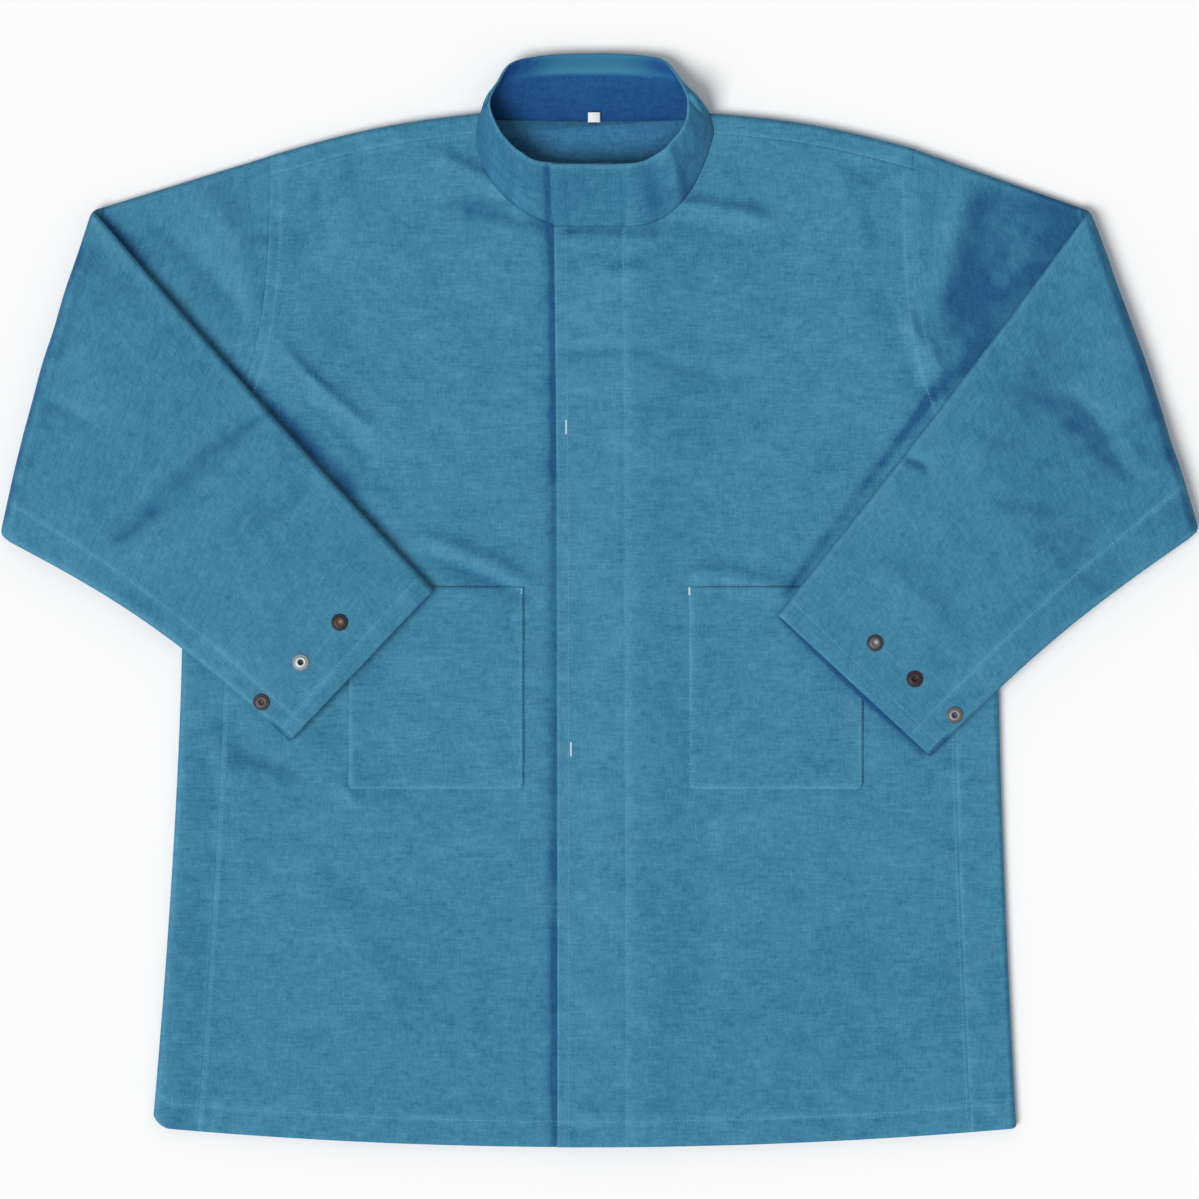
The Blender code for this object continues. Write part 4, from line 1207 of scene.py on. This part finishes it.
def back_piece():
    """The back on the floor, wrapped round both sides and over both shoulders."""
    strips = {sign: side_strip(sign) for sign in (-1, 1)}
    right_top, left_top = ([row[0][:2] for row in shoulder_grids[sign][0]] for sign in (-1, 1))
    top = right_top + [p[:2] for p in back_neckline()[1:-1]] + left_top[::-1]
    right, left = ([row[0][:2] for row in strips[sign][0]] + armhole_stops(sign)[1:-1]
                   + [shoulder_grids[sign][0][0][0][:2]] for sign in (-1, 1))
    bottom = [vec(x, hem_line(x)) for x in np.linspace(right[0][0], left[0][0], HEM_COLUMNS + 1)]
    outline = np.array(right[:-1] + top[:-1] + left[:0:-1] + bottom[:0:-1])
    blocks = [([raised(outline, floor_level)], [outline], False, 0.0)]
    for sign in (-1, 1):
        for grid, grain in (strips[sign], shoulder_grids[sign]):
            blocks.append((grid, grain, False, front_wear_and_shade(grid[..., :2])))
    return cloth_piece("jacket_back", blocks, cloth_look, "back_panel",
                       inner_look=back_inner_look)


def front_outer_edge(sign):
    """Side seam and armhole of a front panel, from the hem to the shoulder seam."""
    rows = np.linspace(0, 1, BODY_ROWS + 1)
    low = [side_point(sign, row, side_wrap - seam_lap) for row in rows]
    end = shoulder_point(sign, 0, shoulder_wrap - seam_lap)
    stops = [p for p in armhole_stops(sign) if low[-1][1] + 0.001 < p[1] < end[1] - 0.001]
    return low + stops + [end]


def front_inner_edge(sign, edge, count):
    """The front edge and the neckline of a front panel, from the hem to the shoulder seam."""
    ys = np.linspace(hem_line(edge(0.0)), neck_bottom, count + 1)
    low = [vec(edge(y), y) for y in ys]
    neck = [front_neck_curve(sign, t) for t in np.linspace(1, 0, 81)]
    neck = [p for p in neck if sign * (p[0] - low[-1][0]) > 0.001]
    line = Path([low[-1], *neck[:-1], shoulder_point(sign, 1, shoulder_wrap - seam_lap)])
    return low + [line.at(share) for share in np.linspace(0, 1, NECK_ROWS + 1)[1:]]


def panel_edges(sign, edge):
    outer = front_outer_edge(sign)
    return np.array(outer), np.array(front_inner_edge(sign, edge, len(outer) - 1 - NECK_ROWS))


edges_of = {-1: panel_edges(-1, underlap_edge), 1: panel_edges(1, placket_edge)}


def front_piece(sign, level):
    outer, inner = edges_of[sign]
    shares = column_shares(sign)
    top = np.array([shoulder_point(sign, share, shoulder_wrap - seam_lap) for share in shares])
    bottom = mix(outer[0], inner[0], shares[:, None])
    bottom = np.stack([bottom[:, 0], hem_line(bottom[:, 0])], -1)
    v = ((outer[:, 1] - outer[0, 1]) / (outer[-1, 1] - outer[0, 1]))[:, None, None]
    u = shares[None, :, None]
    across = mix(outer[:, None], inner[:, None], u)
    up = mix(bottom[None], top[None], v)
    corner = mix(mix(bottom[0], bottom[-1], u), mix(top[0], top[-1], u), v)
    grid, grain = lifted(across + up - corner, level)
    wear_and_shade = front_wear_and_shade(grain) + (placket_wear(grain) if sign > 0 else underlap_painted_shadow(grain))
    name = sides[sign]["side"] + "_front"
    return cloth_piece("jacket_" + name, [(grid, grain, False, wear_and_shade)], cloth_look, name,
                       inner_look=back_inner_look)


def facing_piece():
    """The strip behind the placket that the hidden snaps are set in."""
    u = np.linspace(0, 1, 12)
    low = hem_line(placket_edge(0.0) + placket_width * u)
    y = mix(low, neck_bottom - facing_drop, np.linspace(0, 1, 120)[:, None])
    plan = np.stack([placket_edge(y) + mix(gap, placket_width, u), y], -1)
    grid, grain = lifted(plan, lambda p: front_level(p) + layer)
    return cloth_piece("placket_facing", [(grid, grain, False, 0.0)], cloth_look, "fly_facing")


def pocket_inner(sign):
    return sign * sides[sign]["pocket_inner_share"] * chest_width


def pocket_level(p, sign):
    """A pocket lies on the front, a little slack at its mouth and thicker at its turned hem."""
    across = np.clip((p[..., 0] - pocket_inner(sign)) / (sign * pocket_width), 0, 1)
    up = (p[..., 1] - pocket_base_height) / pocket_height
    slack = 0.0007 * np.sin(math.pi * across) ** 0.7 * ramp((up - 0.55) / 0.45)
    hem = 0.0001 * ramp(((up - 1) * pocket_height + pocket_hem_depth) / 0.003)
    rim = np.minimum(np.minimum(across, 1 - across) * pocket_width, up * pocket_height)
    edge = 0.0001 * ramp((0.006 - rim) / 0.003)
    wave = 0.0005 * unevenness(p, 0.013, 90 + sign) * bell(rim, 0.012)
    sunk = 0.0005 * bell(rim, 0.0030) * (1 - ramp((up - 0.95) / 0.05))
    return front_level(p) + pocket_lift + slack + hem + edge + np.abs(wave) - sunk


def pocket_piece(sign):
    heights = np.array([*pocket_corner * vec(0.0, 0.08, 0.3, 0.6),
                        *np.linspace(pocket_corner, pocket_height, 62)])[:, None]
    rest = np.clip(pocket_corner - heights, 0, None)
    inset = pocket_corner - np.sqrt(np.clip(pocket_corner**2 - rest**2, 0, None))
    across = inset + np.linspace(0, 1, 56) * (pocket_width - 2 * inset)
    x, y = np.broadcast_arrays(pocket_inner(sign) + sign * across, pocket_base_height + heights)
    grid, grain = lifted(np.stack([x, y], -1), lambda p: pocket_level(p, sign))
    rim = np.minimum(np.minimum(across, pocket_width - across), heights)
    # Rubbed wear along the stitches, less the painted shade of the body
    wear_and_shade = uneven(0.75 * bell(rim - pocket_stitch_inset, 0.0013), grain, 122) - shade("body", grain)
    name = sides[sign]["side"] + "_pocket"
    return cloth_piece("patch_" + name, [(grid, grain, False, wear_and_shade)], cloth_look, name)


# Collar


def neckline():
    """The neckline from the underlap end round the back to the overlap end."""
    right, left = (edges_of[sign][1][-NECK_ROWS - 1:-1] for sign in (-1, 1))
    right_turn, left_turn = (list(shoulder_grids[sign][0][-1][1:]) for sign in (-1, 1))
    return [*raised(right, right_front_level(right)), *right_turn[::-1], *back_neckline(),
            *left_turn, *raised(left, left_front_level(left))[::-1]]


def collar_piece():
    """The stand collar: one band round the neck, its left end over its right end."""
    base = neckline()
    steps = np.linalg.norm(np.diff(base, axis=0), axis=1)
    length = np.concatenate([[0.0], np.cumsum(steps)])
    s = np.arange(COLLAR_STEPS + 1) / COLLAR_STEPS
    columns = []
    for point, reached in zip(base, length):
        across, up, height = (smooth_rows(collar_top, "along", key, reached / length[-1])
                              for key in ("across", "up", "height"))
        end = vec(across * neck_width / 2, up * collar_height + back_length,
                  height * collar_height * collar_slump + point[2] / 2)
        outward = unit(vec(point[0], point[1] - back_length + neck_drop / 2, 0))
        back = ramp((point[1] - back_length + 0.014) / 0.014)
        stand = np.sin(math.pi * np.minimum(1, s / 0.72) / 2) ** 2 - 0.45 * ramp((s - 0.66) / 0.34)
        wave = noise(reached, s * 0.02, 0.030, 95) + noise(reached + s * 0.012, s * 0.03, 0.011, 96)
        wave = 0.0010 * wave * s * (1 - 0.8 * back) * (1 - 0.6 * ramp((s - 0.7) / 0.3))
        out = collar_bulge * np.sin(math.pi * s) + wave
        columns.append(mix(point, end, s[:, None]) + outward * out[:, None]
                       + vec(0, 0, back_stand * back) * stand[:, None])
    grid = np.stack(columns, 1)
    share_up = s[:, None]
    grain = np.stack(np.broadcast_arrays(length, share_up * collar_height), -1)
    # Rubbed top edge, less painted shade over the whole collar and from its table; the rolled-over top of
    # the back is painted light
    wear_and_shade = 0.7 * bell((1 - share_up) * collar_height, 0.002) - collar_shade
    wear_and_shade = wear_and_shade - shade("collar", grid[..., :2])
    centre = np.exp(-((grid[..., 0] / 0.048) ** 4))
    painted_light_band = centre * ramp((share_up - collar_lit_band_share) / 0.10) * (grid[..., 1] > back_length)
    return cloth_piece("stand_collar", [(grid, grain, False, wear_and_shade * (1 - painted_light_band) + painted_light_band)],
                       collar_look, "collar", thickness=0.0017,
                       inner_look=collar_inner_look, outward=(0, -1, 0))


def tag_piece():
    """The small bare tag inside the back of the neck."""
    low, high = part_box("size_tag")
    plan = np.stack(np.meshgrid(np.linspace(low.x, high.x, 12), np.linspace(low.y, high.y, 8)), -1)
    level = high.z + 0.0006 + 0.0008 * np.sin(np.linspace(0, math.pi, 12))
    look = plain_material("tag", (0.80, 0.84, 0.88), 0.8)
    return cloth_piece("neck_tag", [(raised(plan + middle, level), plan, False, 0.0)], look, "size_tag",
                       thickness=0.0004)


# Sleeves


def sleeve_lines(arm):
    """The row of stitches round the cuff and the seam by the lower edge, in plan."""
    share = 1 - cuff_hem_depth / forearm_length
    lane = vec(sleeve_seam_lane[arm["sign"]])
    return (Path([forearm_plan(arm, share, vec(t))[0] for t in np.linspace(0.02, 0.98, 40)]),
            Path([forearm_plan(arm, s, lane)[0] for s in np.linspace(0.02, 0.99, 60)]))


def sleeve_piece(sign):
    """One open tube of cloth, folded once across, from the armhole to the cuff."""
    arm = arms[sign]
    side = arm["side"]
    stations = sleeve_stations()
    grid = np.array([sleeve_section(arm, station) for station in stations])
    outer_start = SLEEVE_LANES + SLEEVE_EDGE_STEPS - 1
    outer = grid[:, outer_start:1 - SLEEVE_EDGE_STEPS]
    steps = np.linalg.norm(np.diff(outer, axis=0), axis=-1)
    reach = np.concatenate([[0.0], np.cumsum(np.median(steps, axis=1))])
    count = grid.shape[1]
    round_way = np.arange(count) / count * 2 * sleeve_width
    grain = np.stack(np.broadcast_arrays(round_way, reach[:, None]), -1)
    plan = grid[..., :2]
    top_side = np.arange(count) >= outer_start
    cuff_stitch, seam = sleeve_lines(arm)
    wear_and_shade = 0.7 * bell(cuff_stitch.near(plan)[0]) + 0.7 * bell(seam.near(plan)[0], 0.0022)
    kinds = np.array([kind for kind, _ in stations])[:, None]
    values = np.array([value for _, value in stations])[:, None]
    upper = (kinds == "upper") | ((kinds == "bend") & (values < 0))
    # Painted shade: from the body's table on the upper arm, from the forearm's table on its upper cloth,
    # and strongly on the inner cloth in the mouth of the cuff
    dark = np.where(upper, shade("body", plan), shade(side + "_forearm", plan) * top_side)
    mouth = (kinds == "forearm") * ramp((values - 0.90) / 0.04) * ~top_side
    wear_and_shade = uneven(wear_and_shade * top_side, plan, 123) - dark - 0.9 * mouth
    return cloth_piece("folded_" + side + "_sleeve", [(grid, grain, True, wear_and_shade)], sleeve_look,
                       side + "_sleeve", inner_look=back_inner_look)


# Threads laid on the pieces of cloth


class Ground:
    """The upper surface of a piece of cloth, found from above."""

    def __init__(self, piece):
        mesh = piece.data
        points = [v.co.copy() for v in mesh.vertices]
        self.tree = BVHTree.FromPolygons(points, [tuple(f.vertices) for f in mesh.polygons])
        self.lift = piece.modifiers["cloth"].thickness / 2

    def at(self, place):
        """Point and normal of the upper surface over a place in plan, or None beside the piece."""
        above = Vector((place[0] - middle[0], place[1] - middle[1], 0.2))
        hit, normal, *_ = self.tree.ray_cast(above, Vector((0, 0, -1)))
        if hit is None:
            return None
        normal = normal if normal.z > 0 else -normal
        return np.array(hit + normal * self.lift), np.array(normal)


def capsule(centre, way, normal, length, radius):
    """Corners of one stitch: two points and two rings of five."""
    across = unit(np.cross(normal, way))
    ring = [across * math.cos(a) + normal * math.sin(a) for a in np.arange(5) * math.tau / 5]
    corners = [centre - way * length / 2]
    for end in (-0.32, 0.32):
        corners += [centre + way * length * end + r * radius for r in ring]
    return corners + [centre + way * length / 2]


CAPSULE_FACES = [(0, 1 + (k + 1) % 5, 1 + k) for k in range(5)]
CAPSULE_FACES += [(1 + k, 1 + (k + 1) % 5, 6 + (k + 1) % 5, 6 + k) for k in range(5)]
CAPSULE_FACES += [(11, 6 + k, 6 + (k + 1) % 5) for k in range(5)]


def thread_piece(name, stitches, look, slot, radius=thread_radius):
    """Many small stitches, each a middle, a direction, a normal and a length, as one mesh."""
    corners = []
    faces = []
    for stitch in stitches:
        faces += [tuple(len(corners) + i for i in face) for face in CAPSULE_FACES]
        corners += capsule(*stitch, radius)
    mesh = bpy.data.meshes.new(name)
    mesh.from_pydata([tuple(c) for c in corners], [], faces)
    mesh.shade_smooth()
    piece = linked(name, mesh, [look])
    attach(piece, "root")
    return piece


def row_of_stitches(ground, path, seed):
    """Stitches along a line in plan, each a little out of line."""
    found = []
    count = max(2, int(path.length / stitch_pitch))
    for k in range(count):
        share = (k + 0.5) / count
        here, ahead = path.at(share), path.at(min(1.0, share + 0.25 / count))
        way = unit(ahead - path.at(max(0.0, share - 0.25 / count)))
        here = here + vec(-way[1], way[0]) * 0.0001 * noise(k * 3.7, seed, 1.0, seed)
        spots = [ground.at(here + way * step) for step in (0, 0.0006, -0.0006)]
        if any(spot is None for spot in spots):
            continue
        (point, normal), (front, _), (rear, _) = spots
        if np.linalg.norm(front - rear) <= 0.004:
            found.append((point + normal * thread_radius * 0.35, unit(front - rear), normal,
                          stitch_length))
    return found


def bartack(row):
    """A dense bar of crosswise stitches, one above the other."""
    found = []
    length = row["length"]
    for up in np.linspace(-length / 2, length / 2, int(length / bartack_pitch)):
        spot, normal = grounds[row["ground"]].at((row["x"], row["y"] + up))
        across = vec(-1, 0, 0)
        across = unit(across - normal * float(across @ normal))
        found.append((spot + normal * 0.0003, across, normal, row["width"]))
    return found


def snap_piece(row, ground):
    """One cuff snap: a rim, a raised ring and a sunk middle, turned from a profile."""
    node_name = f"{row['side']}_cuff_snap_{row['number']}"
    low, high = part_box(node_name)
    centre = (low + high) / 2
    point, normal = ground.at((centre.x + middle[0], centre.y + middle[1]))
    radius = snap_diameter / 2
    depth = snap_thickness * 1.1
    vertices = []
    faces = []
    for ring, (share, height) in enumerate(SNAP_PROFILE[1:]):
        for k in range(SNAP_SIDES):
            turn = k / SNAP_SIDES * math.tau
            vertices.append((radius * share * math.cos(turn), radius * share * math.sin(turn),
                             depth * height))
            inner, j = (ring - 1) * SNAP_SIDES, (k + 1) % SNAP_SIDES
            if ring:
                outer = inner + SNAP_SIDES
                faces.append((inner + k, outer + k, outer + j, inner + j))
    faces += [(len(vertices), k, (k + 1) % SNAP_SIDES) for k in range(SNAP_SIDES)]
    vertices.append((0, 0, depth * SNAP_PROFILE[0][1]))
    mesh = bpy.data.meshes.new("snap")
    mesh.from_pydata(vertices, [], faces)
    mesh.shade_smooth()
    for face in mesh.polygons:
        reach = max(math.hypot(*mesh.vertices[i].co[:2]) for i in face.vertices) / radius
        face.material_index = 2 if reach < 0.36 else 1 if reach < 0.66 else 0
    # The snap's three tones carry painted reflections as well as the metal's own colour
    piece = linked("metal_" + node_name, mesh,
                   [plain_material(f"{node_name}_{part}", row[part], 0.5, 0.35)
                    for part in ("rim", "ring", "centre")])
    piece.rotation_mode = "QUATERNION"
    piece.rotation_quaternion = Vector((0, 0, 1)).rotation_difference(Vector(normal.tolist()))
    piece.location = Vector(point.tolist())
    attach(piece, "root")
    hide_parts(node_name)


# The pieces

back = back_piece()
right_front = front_piece(-1, right_front_level)
left_front = front_piece(1, left_front_level)
facing = facing_piece()
pockets = {sign: pocket_piece(sign) for sign in (-1, 1)}
collar = collar_piece()
tag_piece()
sleeve_pieces = {sign: sleeve_piece(sign) for sign in (-1, 1)}

# Stitches

grounds = {"back": Ground(back), -1: Ground(right_front), 1: Ground(left_front)}
for sign in (-1, 1):
    grounds["pocket", sign] = Ground(pockets[sign])
    grounds["sleeve", sign] = Ground(sleeve_pieces[sign])


def stitches(name, slot, rows):
    """One piece of stitches from rows, each a ground, a line in plan and a seed."""
    found = []
    for ground, line, seed in rows:
        found += row_of_stitches(grounds[ground], line, seed)
    thread_piece(name, found, thread_look, slot)


# Beside the armholes and the seams, and along the hem of the fronts
for sign in (-1, 1):
    name = sides[sign]["side"] + "_front"
    armhole = armholes[sign].part(0.08, 0.93).inset(sign * seam_stitch_gap)
    shoulder = seams[sign]["shoulder"].part(0.03, 0.97).inset(-sign * 0.0024)
    edge = placket_edge(0) + (sign > 0) * 0.002
    hem = hem_row(side_fold(sign, 0) - sign * side_wrap, edge, 80)
    side = seams[sign]["side"].part(0.02, 0.98).inset(sign * 0.0022)
    stitches(name + "_stitches", name + "_cloth",
             [(sign, armhole, 2), (sign, shoulder, 3), (sign, hem, 4), (sign, side, 5)])

# The wrapped parts of the back: ends of the hem and shoulders
rows = []
for sign in (-1, 1):
    fold = side_fold(sign, 0)
    rows.append(("back", hem_row(fold - sign * 0.004, fold - sign * side_wrap, 20), 6))
    rows.append(("back", seams[sign]["shoulder"].part(0.03, 0.97).inset(sign * 0.0020), 7))
stitches("back_stitches", "back_cloth", rows)

# The placket, the pockets and the sleeves
ys = np.linspace(hem_line(0.0) + 0.001, neck_bottom - 0.003, 90)
stitches("placket_stitches", "left_front_cloth",
         [(1, Path([vec(placket_edge(y) + depth, y) for y in ys]), int(depth * 1000))
          for depth in (edge_stitch_inset, placket_width)])
for sign in (-1, 1):
    name = sides[sign]["side"]
    low, high = pocket_base_height + pocket_stitch_inset, pocket_base_height + pocket_height
    a, b = (pocket_inner(sign) + sign * across
            for across in (pocket_stitch_inset, pocket_width - pocket_stitch_inset))
    line = Path([vec(a, high), vec(a, low), vec(b, low), vec(b, high)])
    stitches(name + "_pocket_stitches", name + "_pocket_cloth", [(("pocket", sign), line, 8)])
    stitches(name + "_sleeve_stitches", name + "_sleeve_cloth",
             [(("sleeve", sign), line, 10 + i) for i, line in enumerate(sleeve_lines(arms[sign]))])

tacks = [tack for row in named(BARTACK_COLUMNS, BARTACKS) for tack in bartack(row)]
thread_piece("bartacks", tacks, bartack_look, "left_front_cloth", radius=0.00030)

for row in named(SNAP_COLUMNS, SNAPS):
    snap_piece(row, grounds["sleeve", row["sign"]])

# Floor, light and camera

bpy.ops.mesh.primitive_plane_add(size=floor_size, location=(0, 0, -floor_drop))
floor = bpy.context.active_object
floor.name = "floor"
floor.data.materials.append(plain_material("floor", floor_colour, 0.9))

light = bpy.data.lights.new("overhead", "SUN")
light.angle = math.radians(light_angle)
light.energy = light_power
lamp = bpy.data.objects.new("overhead", light)
lamp.location = light_place
lamp.rotation_mode = "QUATERNION"
lamp.rotation_quaternion = (-lamp.location).to_track_quat("-Z", "Y")

world = bpy.data.worlds.new("studio")
world.use_nodes = True
background = world.node_tree.nodes["Background"]
background.inputs["Color"].default_value = (1, 1, 1, 1)
background.inputs["Strength"].default_value = world_strength

lens = bpy.data.cameras.new("camera")
lens.sensor_width = camera_sensor
lens.lens = camera_sensor * (camera_height - 0.008) / frame_side
lens.clip_end = 50
camera = bpy.data.objects.new("camera", lens)
camera.location = (-0.0001, 0.0005, camera_height)

scene = bpy.context.scene
scene.collection.objects.link(lamp)
scene.collection.objects.link(camera)
scene.camera = camera
scene.world = world
scene.view_settings.view_transform = "Standard"
